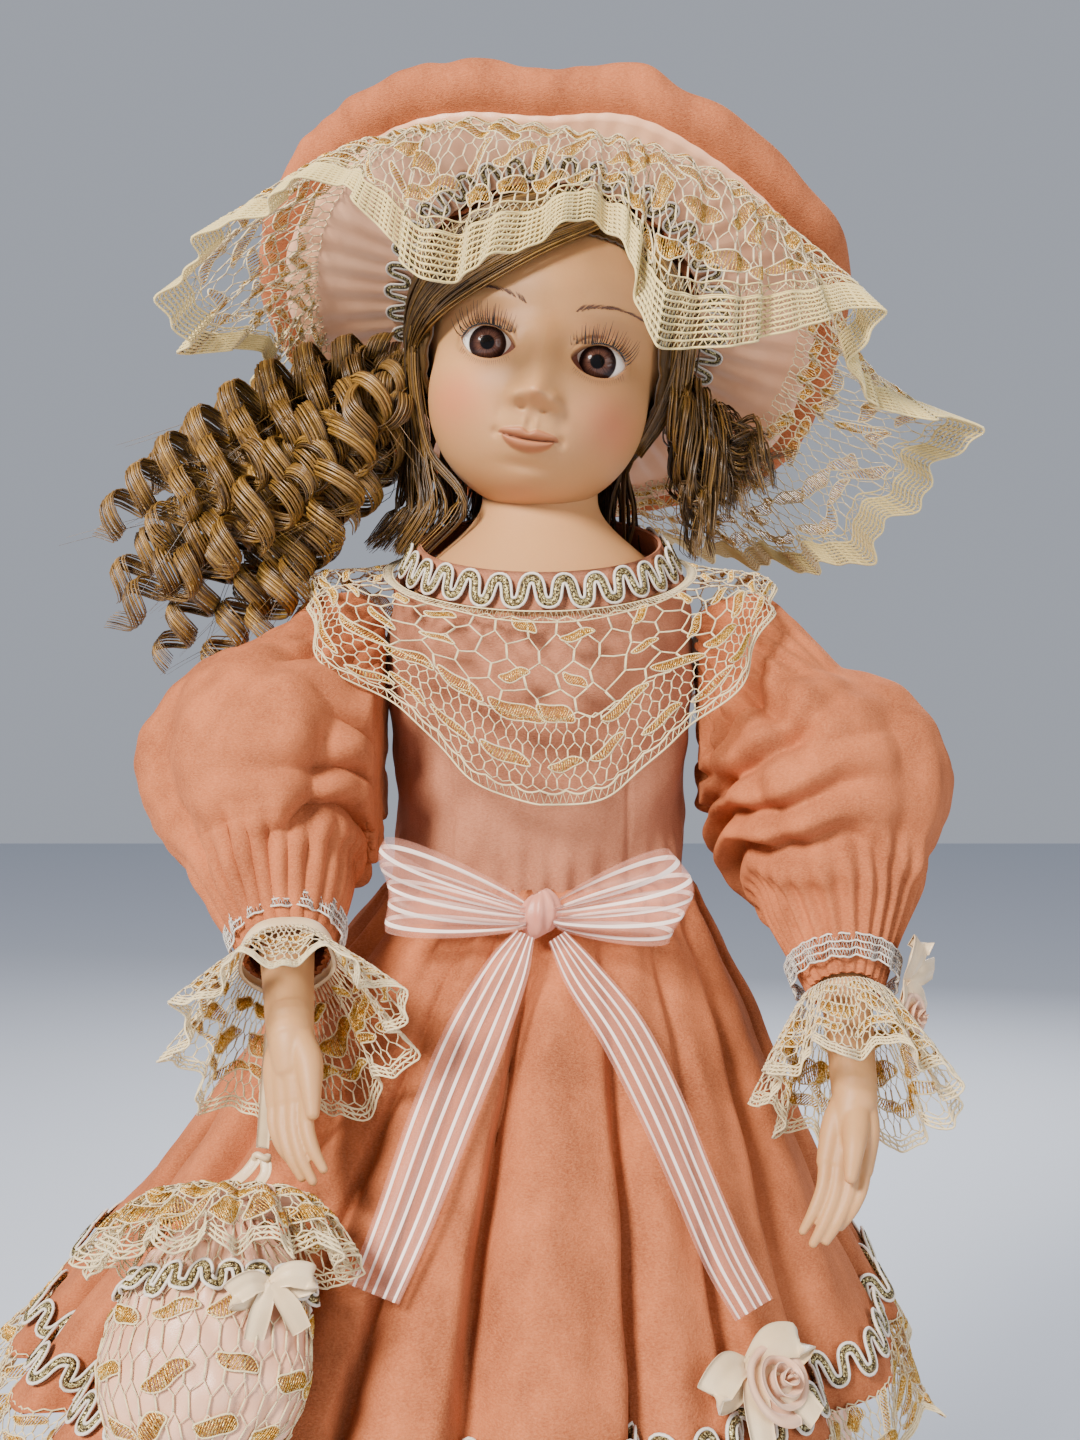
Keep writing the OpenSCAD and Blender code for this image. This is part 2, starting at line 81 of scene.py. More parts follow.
ARMS = {
    "right": {
        "side": -1,
        "shoulder": np.array([-54.0, -2.0, 369.0]),
        "puff": np.array([-67.0, -27.0, 337.0]),
        "elbow": np.array([-66.0, -22.0, 322.0]),
        "wrist": np.array([-55.0, -78.0, 284.0]),
        "tip": np.array([-52.0, -92.0, 252.0]),
        "flare": 23.0,
    },
    "left": {
        "side": 1,
        "shoulder": np.array([54.0, -2.0, 369.0]),
        "puff": np.array([74.0, -9.0, 335.0]),
        "elbow": np.array([77.0, -8.0, 318.0]),
        "wrist": np.array([74.0, -56.0, 264.0]),
        "tip": np.array([66.0, -70.0, 231.0]),
        "flare": 20.0,
    },
}
SIDES = (("right", -1), ("left", 1))
LOOP_STEPS = 22  # points along one loop of gimp

SHEETS = []  # each cloth as (piece, grid, how it is held, what it rests on, its trims)


# ---- numbers ----

def unit(v):
    return v / np.maximum(np.linalg.norm(v, axis=-1, keepdims=True), 1e-9)


def smoothstep(low, high, x):
    t = np.clip((x - low) / (high - low), 0, 1)
    return t * t * (3 - 2 * t)


def turn_x(angle):
    c, s = math.cos(angle), math.sin(angle)
    return np.array([[1, 0, 0], [0, c, -s], [0, s, c]])


def turn_y(angle):
    c, s = math.cos(angle), math.sin(angle)
    return np.array([[c, 0, s], [0, 1, 0], [-s, 0, c]])


HEAD = turn_y(HEAD_ROLL)
HAT = HEAD @ turn_x(-HAT_TILT)


def in_head(p):
    return np.asarray(p, float) @ HEAD.T + SKULL


def in_hat(p):
    return np.asarray(p, float) @ HAT.T + SKULL


def in_neckline(p):
    return np.asarray(p, float) @ turn_x(NECKLINE_TILT).T + NECKLINE


def in_purse(p):
    p = np.array(p, float)
    p[..., 0] -= PURSE_SHIFT * smoothstep(2, 13, -p[..., 2])
    return p @ turn_x(-PURSE_LEAN).T + PURSE_PIVOT


def mapped(carry, grid):
    """A grid of points carried over by one of the in_ functions above."""
    return carry(grid.reshape(-1, 3)).reshape(grid.shape)


def ring(angle, r, z, deep=1.0):
    """Points r from the z axis at an angle that is 0 in front; deep squeezes them front to back."""
    return np.stack(np.broadcast_arrays(r * np.sin(angle), -deep * r * np.cos(angle), z), axis=-1)


def ring_angles(count):
    """Angles round the doll, 0 in front. A grid over them whose rows run down faces outwards."""
    return -np.arange(count) * TURN / count


def front_angle(angle):
    """The angle from the front, -pi to pi."""
    return (angle + math.pi) % TURN - math.pi


def fall(start, bend, end, v):
    """Rows of points that leave start towards bend and come down to end."""
    return start * (1 - v) ** 2 + bend * 2 * v * (1 - v) + end * v**2


def spline(points, count, closed=False):
    """A smooth curve through the points, as count points evenly spaced along it."""
    p = np.asarray(points, float)
    spans = len(p) if closed else len(p) - 1
    ends = (p[-1:], p[:2]) if closed else (2 * p[:1] - p[1:2], 2 * p[-1:] - p[-2:-1])
    q = np.vstack([ends[0], p, ends[1]])
    t = np.linspace(0, spans, spans * 24 + 1)
    i = np.minimum(t.astype(int), spans - 1)
    f = (t - i)[:, None]
    a, b, c, d = q[i], q[i + 1], q[i + 2], q[i + 3]
    fine = 0.5 * (2 * b + (c - a) * f + (2 * a - 5 * b + 4 * c - d) * f**2
                  + (3 * b - a - 3 * c + d) * f**3)
    run = np.concatenate([[0], np.cumsum(np.linalg.norm(np.diff(fine, axis=0), axis=1))])
    want = np.linspace(0, run[-1], count, endpoint=not closed)
    return np.stack([np.interp(want, run, fine[:, k]) for k in range(fine.shape[1])], axis=1)


def wobble(p, size, seed):
    """Smooth noise of about -1 to 1, whose lumps are about size across."""
    r = np.random.default_rng(seed)
    k = r.normal(size=(9, p.shape[-1])) * (TURN / size / 2.2)
    return np.sin(p @ k.T + r.uniform(0, TURN, 9)).sum(-1) / 3.2


def grid_normals(grid, closed):
    if closed:
        across = np.roll(grid, -1, axis=1) - np.roll(grid, 1, axis=1)
    else:
        across = np.gradient(grid, axis=1)
    return unit(np.cross(across, np.gradient(grid, axis=0)))


class Surface:
    """A closed band held as rows of points, sampled 0 to 1 by u round a row and v down them."""

    def __init__(self, grid):
        tables = grid, grid_normals(grid, True)
        self.grid, self.normal = (np.concatenate([t, t[:, :1]], axis=1) for t in tables)

    def _mix(self, table, u, v):
        rows, cols = table.shape[:2]
        x = u % 1.0 * (cols - 1)
        y = np.clip(v, 0, 1) * (rows - 1)
        i = np.minimum(x.astype(int), cols - 2)
        j = np.minimum(y.astype(int), rows - 2)
        fx, fy = (x - i)[..., None], (y - j)[..., None]
        top = table[j, i] * (1 - fx) + table[j, i + 1] * fx
        low = table[j + 1, i] * (1 - fx) + table[j + 1, i + 1] * fx
        return top * (1 - fy) + low * fy

    def at(self, u, v, lift=0.0):
        u, v = np.broadcast_arrays(np.asarray(u, float), np.asarray(v, float))
        n = unit(self._mix(self.normal, u, v))
        return self._mix(self.grid, u, v) + n * np.asarray(lift)[..., None]


# ---- meshes ----

def make_mesh(name, points, faces, material, uv=None, masks=None):
    """An object from points in mm and a list of face arrays, with one row of corners per face."""
    mesh = bpy.data.meshes.new(name)
    faces = [np.asarray(f, np.int32) for f in faces if len(f)]
    corners = np.concatenate([f.ravel() for f in faces])
    sizes = np.concatenate([np.full(len(f), f.shape[1], np.int32) for f in faces])
    mesh.vertices.add(len(points))
    mesh.vertices.foreach_set("co", (np.asarray(points) * MM).astype(np.float32).ravel())
    mesh.loops.add(len(corners))
    mesh.loops.foreach_set("vertex_index", corners)
    mesh.polygons.add(len(sizes))
    mesh.polygons.foreach_set("loop_start",
                              np.concatenate([[0], np.cumsum(sizes)[:-1]]).astype(np.int32))
    mesh.update(calc_edges=True)
    mesh.shade_smooth()
    if uv is not None:
        layer = mesh.uv_layers.new(name="UVMap")
        layer.data.foreach_set("uv", np.asarray(uv, np.float32)[corners].ravel())
    for mask, values in (masks or {}).items():
        layer = mesh.attributes.new(mask, "FLOAT", "POINT")
        layer.data.foreach_set("value", np.asarray(values, np.float32))
    mesh.validate()
    obj = bpy.data.objects.new(name, mesh)
    bpy.context.scene.collection.objects.link(obj)
    obj.data.materials.append(material)
    return obj


def place(obj, body, nodes=(), bend=None):
    """The piece rides on a body, or, when bend is given, keeps its place with its transform baked
    into its mesh.

    It stands for CAD nodes, by name, whose parts it hides.
    """
    if bend:
        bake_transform(obj)
    else:
        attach(obj, body)
    if nodes:
        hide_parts(*([nodes] if isinstance(nodes, str) else nodes))
    return obj


def grid_faces(rows, cols, closed=False, start=0, flip=False):
    last = cols if closed else cols - 1
    j, i = np.meshgrid(np.arange(rows - 1), np.arange(last), indexing="ij")
    k = (i + 1) % cols
    f = np.stack([j * cols + i, j * cols + k, (j + 1) * cols + k, (j + 1) * cols + i],
                 axis=-1).reshape(-1, 4)
    return (f[:, ::-1] if flip else f) + start


def cloth_parts(grid, thickness, closed=False):
    """Points, faces and uv of a closed skin, whose outer face is the grid."""
    rows, cols = grid.shape[:2]
    back = grid - grid_normals(grid, closed) * thickness
    points = np.concatenate([grid.reshape(-1, 3), back.reshape(-1, 3)])
    n = rows * cols
    faces = [grid_faces(rows, cols, closed), grid_faces(rows, cols, closed, n, True)]

    def rim(a, b, flip):
        edge = np.stack([a, b, b + n, a + n], axis=1)
        faces.append(edge[:, ::-1] if flip else edge)

    i = np.arange(cols if closed else cols - 1)
    for row in (0, rows - 1):
        rim(row * cols + i, row * cols + (i + 1) % cols, row > 0)
    if not closed:
        j = np.arange(rows - 1)
        for col in (0, cols - 1):
            rim(j * cols + col, (j + 1) * cols + col, col == 0)
    u, v = np.meshgrid(np.linspace(0, 1, cols), np.linspace(0, 1, rows))
    uv = np.stack([u, v], axis=-1).reshape(-1, 2)
    return points, faces, np.concatenate([uv, uv])


def cloth(name, grid, material, thickness, body, nodes, closed=True):
    """A piece of cloth whose outer face is the grid."""
    points, faces, uv = cloth_parts(grid, thickness, closed)
    return place(make_mesh(name, points, faces, material, uv), body, nodes)


def merge(parts):
    """Several (points, faces, uv) as one."""
    points, faces, uvs, start = [], [], [], 0
    for p, f, uv in parts:
        points.append(p)
        faces += [x + start for x in f]
        uvs.append(uv)
        start += len(p)
    return np.concatenate(points), faces, np.concatenate(uvs)


def piece(name, parts, material, body, nodes=()):
    """Several (points, faces, uv) as one placed piece."""
    return place(make_mesh(name, *merge(parts)[:2], material), body, nodes)


def sweep(paths, radius, sides, closed=False):
    """Tubes along paths of equal length (paths, points, 3)."""
    p = np.asarray(paths, float)
    count, length = p.shape[:2]
    if closed:
        t = unit(np.roll(p, -1, axis=1) - np.roll(p, 1, axis=1))
    else:
        t = unit(np.gradient(p, axis=1))
    n = np.empty_like(p)
    first = np.where(np.abs(t[:, :1, 2:]) < 0.9, [[[0.0, 0.0, 1.0]]], [[[1.0, 0.0, 0.0]]])
    n[:, 0] = unit(first - t[:, :1] * (first * t[:, :1]).sum(-1, keepdims=True))[:, 0]
    for i in range(1, length):
        n[:, i] = unit(n[:, i - 1] - t[:, i] * (n[:, i - 1] * t[:, i]).sum(-1, keepdims=True))
    b = np.cross(t, n)
    a = np.arange(sides) * TURN / sides + TURN / sides / 2
    r = np.broadcast_to(radius, (count, length))[:, :, None, None]
    around = n[:, :, None] * np.cos(a)[:, None] + b[:, :, None] * np.sin(a)[:, None]
    points = (p[:, :, None] + around * r).reshape(-1, 3)
    base = (np.arange(count) * length * sides)[:, None, None]
    last = length if closed else length - 1
    j, i = np.meshgrid(np.arange(last), np.arange(sides), indexing="ij")
    k, m = (i + 1) % sides, (j + 1) % length
    quads = np.stack([j * sides + i, j * sides + k, m * sides + k, m * sides + i], axis=-1)
    faces = [(quads.reshape(1, -1, 4) + base).reshape(-1, 4)]
    if not closed:
        caps = np.arange(sides)
        faces.append(caps[::-1] + base[:, :, 0])
        faces.append((length - 1) * sides + caps + base[:, :, 0])
    run = np.concatenate([np.zeros((count, 1)),
                          np.cumsum(np.linalg.norm(np.diff(p, axis=1), axis=2), axis=1)], axis=1)
    uv = np.stack(np.broadcast_arrays(run[:, :, None], (np.arange(sides) / sides)[None, None, :]),
                  axis=-1)
    return points, faces, uv.reshape(-1, 2)


def applied(obj):
    """The object with its modifiers made part of its mesh."""
    depsgraph = bpy.context.evaluated_depsgraph_get()
    mesh = bpy.data.meshes.new_from_object(obj.evaluated_get(depsgraph))
    obj.modifiers.clear()
    obj.data = mesh
    obj.data.shade_smooth()
    return obj


# ---- materials ----

class Shader:
    """A procedural material under construction."""

    def __init__(self, name, **values):
        self.material = bpy.data.materials.new(name)
        self.material.use_nodes = True
        self.tree = self.material.node_tree
        self.bsdf = self.tree.nodes["Principled BSDF"]
        for socket, value in values.items():
            self.bsdf.inputs[socket.replace("_", " ")].default_value = value

    def node(self, kind, inputs=None, **settings):
        """A node, whose inputs are each linked to a socket or set to a plain value."""
        n = self.tree.nodes.new("ShaderNode" + kind)
        for key, value in settings.items():
            setattr(n, key, value)
        for key, value in (inputs or {}).items():
            if isinstance(value, bpy.types.NodeSocket):
                self.tree.links.new(value, n.inputs[key])
            else:
                n.inputs[key].default_value = value
        return n

    def spot(self, scale):
        where = self.node("TexCoord").outputs["Object"]
        return self.node("Mapping", {"Vector": where, "Scale": scale}).outputs[0]

    def noise(self, scale, detail=3.0, where=None, stretch=(1, 1, 1), rough=0.5):
        where = where or self.spot(stretch)
        inputs = {"Vector": where, "Scale": scale, "Detail": detail, "Roughness": rough}
        return self.node("TexNoise", inputs).outputs["Fac"]

    def mask(self, name):
        return self.node("Attribute", attribute_name=name).outputs["Fac"]

    def ramp(self, value, stops):
        n = self.node("ValToRGB", {"Fac": value})
        while len(n.color_ramp.elements) < len(stops):
            n.color_ramp.elements.new(0.5)
        for element, (at, color) in zip(n.color_ramp.elements, stops):
            element.position = at
            element.color = (*color, 1)
        return n.outputs["Color"]

    def mix(self, fac, a, b):
        """A colour between a and b, which are inputs 6 and 7 of the node."""
        a, b = (c if isinstance(c, bpy.types.NodeSocket) else (*c, 1) for c in (a, b))
        return self.node("Mix", {0: fac, 6: a, 7: b}, data_type="RGBA").outputs[2]

    def math(self, how, a, b=0.0, clamp=False):
        return self.node("Math", {0: a, 1: b}, operation=how, use_clamp=clamp).outputs[0]

    def set(self, socket, value):
        self.tree.links.new(value, self.bsdf.inputs[socket])

    def bump(self, height, distance, strength=1.0):
        n = self.node("Bump", {"Height": height, "Distance": distance, "Strength": strength})
        self.set("Normal", n.outputs[0])

    def done(self, color):
        self.set("Base Color", color)
        return self.material


BLACK, WHITE = (0, 0, 0), (1, 1, 1)


def linear(r, g, b):
    """A colour as seen, 0 to 255, as the shader wants it."""
    return tuple(((c / 255 + 0.055) / 1.055) ** 2.4 if c > 10 else c / 255 / 12.92
                 for c in (r, g, b))


def velvet(name, base, shade, pile_sheen, rows=1.0):
    """Cut pile on a knit back: fine rows, patches of painted sheen and shade where the pile lies
    another way, and flecks of painted sheen.
    """
    s = Shader(name, Roughness=0.95, Sheen_Weight=0.3, Sheen_Roughness=0.35)
    s.bsdf.inputs["Sheen Tint"].default_value = (*pile_sheen, 1)
    s.bsdf.inputs["Specular IOR Level"].default_value = 0.15
    patches = s.noise(55, 4, stretch=(1.6, 1.6, 0.7), rough=0.6)
    grain = s.noise(1500, 2, stretch=(1, 1, rows * 2.2), rough=0.7)
    fuzz = s.noise(5200, 1)
    # painted sheen and shade: where the pile lies another way, the colour moves between the shade
    # and the base
    color = s.mix(s.ramp(patches, [(0.3, BLACK), (0.72, WHITE)]), shade, base)
    # painted sheen: the fine rows and flecks of the pile are lightened towards its sheen colour
    color = s.mix(s.ramp(grain, [(0.35, BLACK), (0.75, (0.34, 0.34, 0.34))]), color, pile_sheen)
    color = s.mix(s.math("MULTIPLY", fuzz, 0.16), color, pile_sheen)
    s.bump(s.math("ADD", grain, s.math("MULTIPLY", fuzz, 0.5)), 0.0005, 0.55)
    return s.done(color)


def satin(name, base, shade, roughness=0.34):
    s = Shader(name, Roughness=roughness, Sheen_Weight=0.25, Anisotropic=0.35)
    weave = s.noise(2600, 1, stretch=(1, 1, 3.5))
    # painted shade of folds: soft patches turn the base colour towards the darker shade colour
    folds = s.noise(90, 3)
    s.bump(weave, 0.00012, 0.4)
    return s.done(s.mix(s.ramp(folds, [(0.3, BLACK), (0.7, WHITE)]), shade, base))


def thread(name, base, shade, roughness=0.6):
    """Spun cotton or rayon: short shade changes along the yarn and a light twist."""
    s = Shader(name, Roughness=roughness, Sheen_Weight=0.3)
    twist = s.noise(2400, 2)
    s.bump(twist, 0.0002, 0.6)
    return s.done(s.mix(twist, shade, base))


def metallic_thread(name, base, dark):
    """Foil yarn, its colour changing from facet to facet: darker facets, the base, and a pale gold
    painted highlight.
    """
    s = Shader(name, Roughness=0.32, Metallic=0.55)
    glint = s.noise(1900, 2, rough=0.8)
    s.bump(glint, 0.0004, 0.8)
    # painted glints: the pale gold top stop is a painted highlight; the dark stop is painted facet
    # shade on the gold thread and the cord's own black on the dark gold one
    return s.done(s.ramp(glint, [(0.34, dark), (0.5, base), (0.68, (1.0, 0.88, 0.42))]))


def hair_material():
    s = Shader("hair", Roughness=0.42, Anisotropic=0.5)
    s.bsdf.inputs["Specular IOR Level"].default_value = 0.6
    tone = s.mask("tone")
    streak = s.noise(420, 3, rough=0.7)
    mixed = s.math("ADD", s.math("MULTIPLY", tone, 0.7), s.math("MULTIPLY", streak, 0.4))
    stops = [(0.1, linear(30, 18, 5)), (0.42, linear(74, 50, 15)), (0.74, linear(126, 90, 32)),
             (1, linear(188, 146, 72))]
    return s.done(s.ramp(mixed, stops))


def bisque_material(name):
    """Unglazed tinted porcelain: matte, faintly speckled, with the paint and some painted shade
    held as masks.
    """
    s = Shader(name, Roughness=0.5, Subsurface_Weight=0.12, Subsurface_Scale=0.004)
    s.bsdf.inputs["Specular IOR Level"].default_value = 0.35
    speckle = s.noise(900, 3, rough=0.7)
    cloud = s.noise(30, 2)
    color = s.mix(cloud, linear(184, 132, 84), linear(196, 147, 97))
    color = s.mix(s.math("MULTIPLY", speckle, 0.18), color, linear(158, 106, 66))
    color = s.mix(s.math("MULTIPLY", s.mask("blush"), 0.55), color, linear(192, 100, 68))
    color = s.mix(s.mask("lips"), color, linear(160, 97, 63))
    # the crease mask darkens the groove between the lips, the lid folds and the edges of the eye
    # openings: partly the doll's own painted lip and lid lines, partly painted shade in these
    # grooves
    color = s.mix(s.mask("crease"), color, linear(112, 62, 44))
    s.bump(speckle, 0.00008, 0.5)
    return s.done(color)


def organza_material():
    """Sheer plain weave with satin stripes along it: the stripes run at even steps of v."""
    s = Shader("organza", Roughness=0.4, Sheen_Weight=0.5)
    uv = s.node("SeparateXYZ", {"Vector": s.node("TexCoord").outputs["UV"]})
    wave = s.math("ABSOLUTE", s.math("SINE", s.math("MULTIPLY", uv.outputs["Y"], math.pi * 5)))
    stripe = s.math("GREATER_THAN", wave, 0.93)
    weave = s.noise(3000, 1)
    sheer = s.math("ADD", s.math("MULTIPLY", weave, 0.22), 0.06)
    s.set("Alpha", s.math("MAXIMUM", s.math("MULTIPLY", stripe, 0.85), sheer, True))
    s.bump(weave, 0.0001, 0.5)
    return s.done(s.mix(stripe, linear(236, 160, 132), linear(250, 226, 212)))


def eye_material():
    """Painted eye: angle from the gaze axis sets pupil, fibres, dark rim and white."""
    s = Shader("eye", Roughness=0.2, Coat_Weight=0.35, Coat_Roughness=0.03)
    s.bsdf.inputs["Specular IOR Level"].default_value = 0.1
    out = s.mask("gaze")
    turned = s.mask("spoke")
    spot = s.node("CombineXYZ", {"X": s.math("MULTIPLY", turned, 26.0),
                                 "Y": s.math("MULTIPLY", out, 1.5)}).outputs[0]
    fibres = s.noise(1.0, 4, where=spot, rough=0.7)
    iris = s.mix(s.ramp(fibres, [(0.35, BLACK), (0.65, WHITE)]), linear(50, 29, 23),
                 linear(116, 76, 60))
    rim = s.ramp(out, [(0.0, BLACK), (0.5, (0.1, 0.1, 0.1)), (0.82, WHITE), (1, WHITE)])
    iris = s.mix(rim, iris, linear(34, 19, 17))
    iris = s.mix(s.ramp(out, [(0, WHITE), (0.34, WHITE), (0.39, BLACK)]), iris,
                 (0.004, 0.003, 0.003))
    white = s.ramp(s.noise(300, 2), [(0.3, linear(232, 220, 205)), (0.8, linear(244, 236, 226))])
    edge = s.node("MapRange", {"Value": out, "From Min": 1.0, "From Max": 1.06}).outputs[0]
    return s.done(s.mix(edge, iris, white))


def wood_material():
    s = Shader("wood", Roughness=0.35, Coat_Weight=0.4)
    s.bsdf.inputs["Coat Roughness"].default_value = 0.15
    rings = s.noise(14, 5, stretch=(1, 14, 14), rough=0.6)
    pores = s.noise(900, 2, stretch=(0.12, 1, 1))
    color = s.ramp(rings, [(0.3, linear(66, 36, 20)), (0.55, linear(110, 64, 36)),
                           (0.75, linear(138, 86, 50))])
    s.bump(pores, 0.0001, 0.4)
    return s.done(s.mix(s.math("MULTIPLY", pores, 0.3), color, linear(45, 24, 14)))


def woven(name, base, shade, roughness=0.85, pitch=1400):
    """Plain cotton, felt or leather: a fine even grain and slow shade changes."""
    s = Shader(name, Roughness=roughness, Sheen_Weight=0.2)
    grain = s.noise(pitch, 2, rough=0.7)
    s.bump(grain, 0.0002, 0.5)
    slow = s.noise(70, 3)
    return s.done(s.mix(s.math("MULTIPLY", grain, 0.4), s.mix(slow, shade, base), shade))


def metal(name, base, roughness=0.25, metallic=1.0):
    s = Shader(name, Roughness=roughness, Metallic=metallic)
    grain = s.noise(700, 3, stretch=(1, 1, 0.05))
    s.bump(grain, 0.00004, 0.4)
    return s.done(s.mix(s.math("MULTIPLY", grain, 0.25), base, tuple(0.6 * c for c in base)))


PEACH = dict(base=linear(180, 98, 58), shade=linear(122, 58, 32), pile_sheen=linear(226, 146, 98))
VELVET = velvet("velvet", **PEACH)
BODICE_VELVET = velvet("velvet_bodice", linear(172, 108, 78), linear(134, 78, 54),
                       linear(214, 152, 118))
SATIN = satin("satin", linear(230, 176, 136), linear(218, 158, 118))
CREAM_SATIN = satin("satin_cream", linear(232, 206, 164), linear(206, 174, 130))
LACE_THREAD = thread("lace_thread", linear(236, 216, 168), linear(206, 180, 126))
EDGE_THREAD = thread("edge_thread", linear(232, 210, 144), linear(204, 176, 104), 0.8)
GOLD = metallic_thread("gold_thread", linear(218, 158, 40), linear(136, 90, 24))
DARK_GOLD = metallic_thread("dark_gold_thread", linear(92, 68, 26), linear(8, 7, 7))
CORD = thread("white_cord", linear(236, 226, 210), linear(184, 172, 156))
ORGANZA = organza_material()
BISQUE = bisque_material("bisque")
HAIR = hair_material()
EYE_MATERIAL = eye_material()
LASH = woven("lash", linear(40, 26, 18), linear(24, 15, 10), 0.5)
COTTON = woven("cotton", linear(242, 238, 228), linear(226, 218, 204))
BODY_CLOTH = woven("body_cloth", linear(226, 208, 182), linear(206, 186, 158))
FELT = woven("felt", linear(58, 84, 62), linear(40, 62, 44), 0.95, 2200)
LEATHER = woven("leather", linear(240, 230, 214), linear(218, 204, 186), 0.4, 900)
SOLE = woven("sole", linear(150, 108, 72), linear(120, 84, 54), 0.7, 900)
STEEL = metal("steel", linear(196, 198, 202))
CLIP = metal("clip_coating", linear(236, 236, 230), 0.35, 0.0)
WOOD = wood_material()
PATE = woven("pate", linear(232, 228, 218), linear(214, 206, 192), 0.8)

for node, material in {
    "base_felt": FELT, "stand_base": WOOD, "stand_tube": STEEL, "stand_rod": STEEL,
    "waist_clip": CLIP, "torso": BODY_CLOTH, "crown_cap": PATE, "back_snaps": STEEL,
    "upper_arm_right": BODY_CLOTH, "upper_arm_left": BODY_CLOTH,
    "thigh_right": BODY_CLOTH, "thigh_left": BODY_CLOTH,
    "lower_leg_right": BISQUE, "lower_leg_left": BISQUE,
    "shoe_right": LEATHER, "shoe_left": LEATHER, "shoe_sole_right": SOLE, "shoe_sole_left": SOLE,
}.items():
    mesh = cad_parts[node].data
    mesh.materials.clear()
    mesh.materials.append(material)


# ---- head ----

def bump_at(x, z, cx, cz, wx, wz, up=None):
    """A rounded hump round (cx, cz); up is its height above that where it differs from wz."""
    h = wz if up is None else np.where(z > cz, up, wz)
    return np.exp(-(((x - cx) / wx) ** 2) - ((z - cz) / h) ** 2)


def mouth_line(x):
    return -35.1 + 0.9 * np.minimum(np.abs(x) / 7.5, 1.4) ** 2


def lip_shape(x, z):
    """Heights of the upper and lower lip over the face, as (bump, paint, crease)."""
    u = np.abs(x) / 7.6
    taper = np.sqrt(np.clip(1 - u**2, 0, 1))
    line = mouth_line(x)
    upper = 2.5 * taper * (1 - 0.28 * np.exp(-((x / 1.3) ** 2))
                           + 0.1 * np.exp(-(((np.abs(x) - 2.2) / 1.5) ** 2)))
    lower = 3.0 * np.sqrt(np.clip(1 - (np.abs(x) / 6.6) ** 2, 0, 1))
    top = np.clip((z - line) / np.maximum(upper, 0.05), 0, 1.5)
    low = np.clip((line - z) / np.maximum(lower, 0.05), 0, 1.5)
    bump = np.where(z > line, np.sin(np.clip(top, 0, 1) * math.pi) ** 0.8,
                    np.sin(np.clip(low, 0, 1) * math.pi) ** 0.7)
    height = np.where(z > line, 1.1 * taper, 1.7 * taper)
    inside = np.where(z > line, smoothstep(1.12, 0.85, top), smoothstep(1.12, 0.85, low))
    paint = np.where(u < 1, inside, 0) * smoothstep(0, 0.2, taper)
    crease = np.exp(-(((z - line) / 0.28) ** 2)) * smoothstep(1.12, 0.8, u)
    return bump * height, paint, crease


def lid_edges(x, side):
    """Heights of the upper and lower lid's edge at x, and where along the opening x is, -1 to 1."""
    u = (x * side - EYE[0]) / EYE_HALF
    arch = np.clip(1 - u**2, 0, 1)
    middle = EYE[2] - 0.2 + 0.5 * u
    return middle + 4.6 * arch**0.62, middle - 4.4 * arch**0.7, u


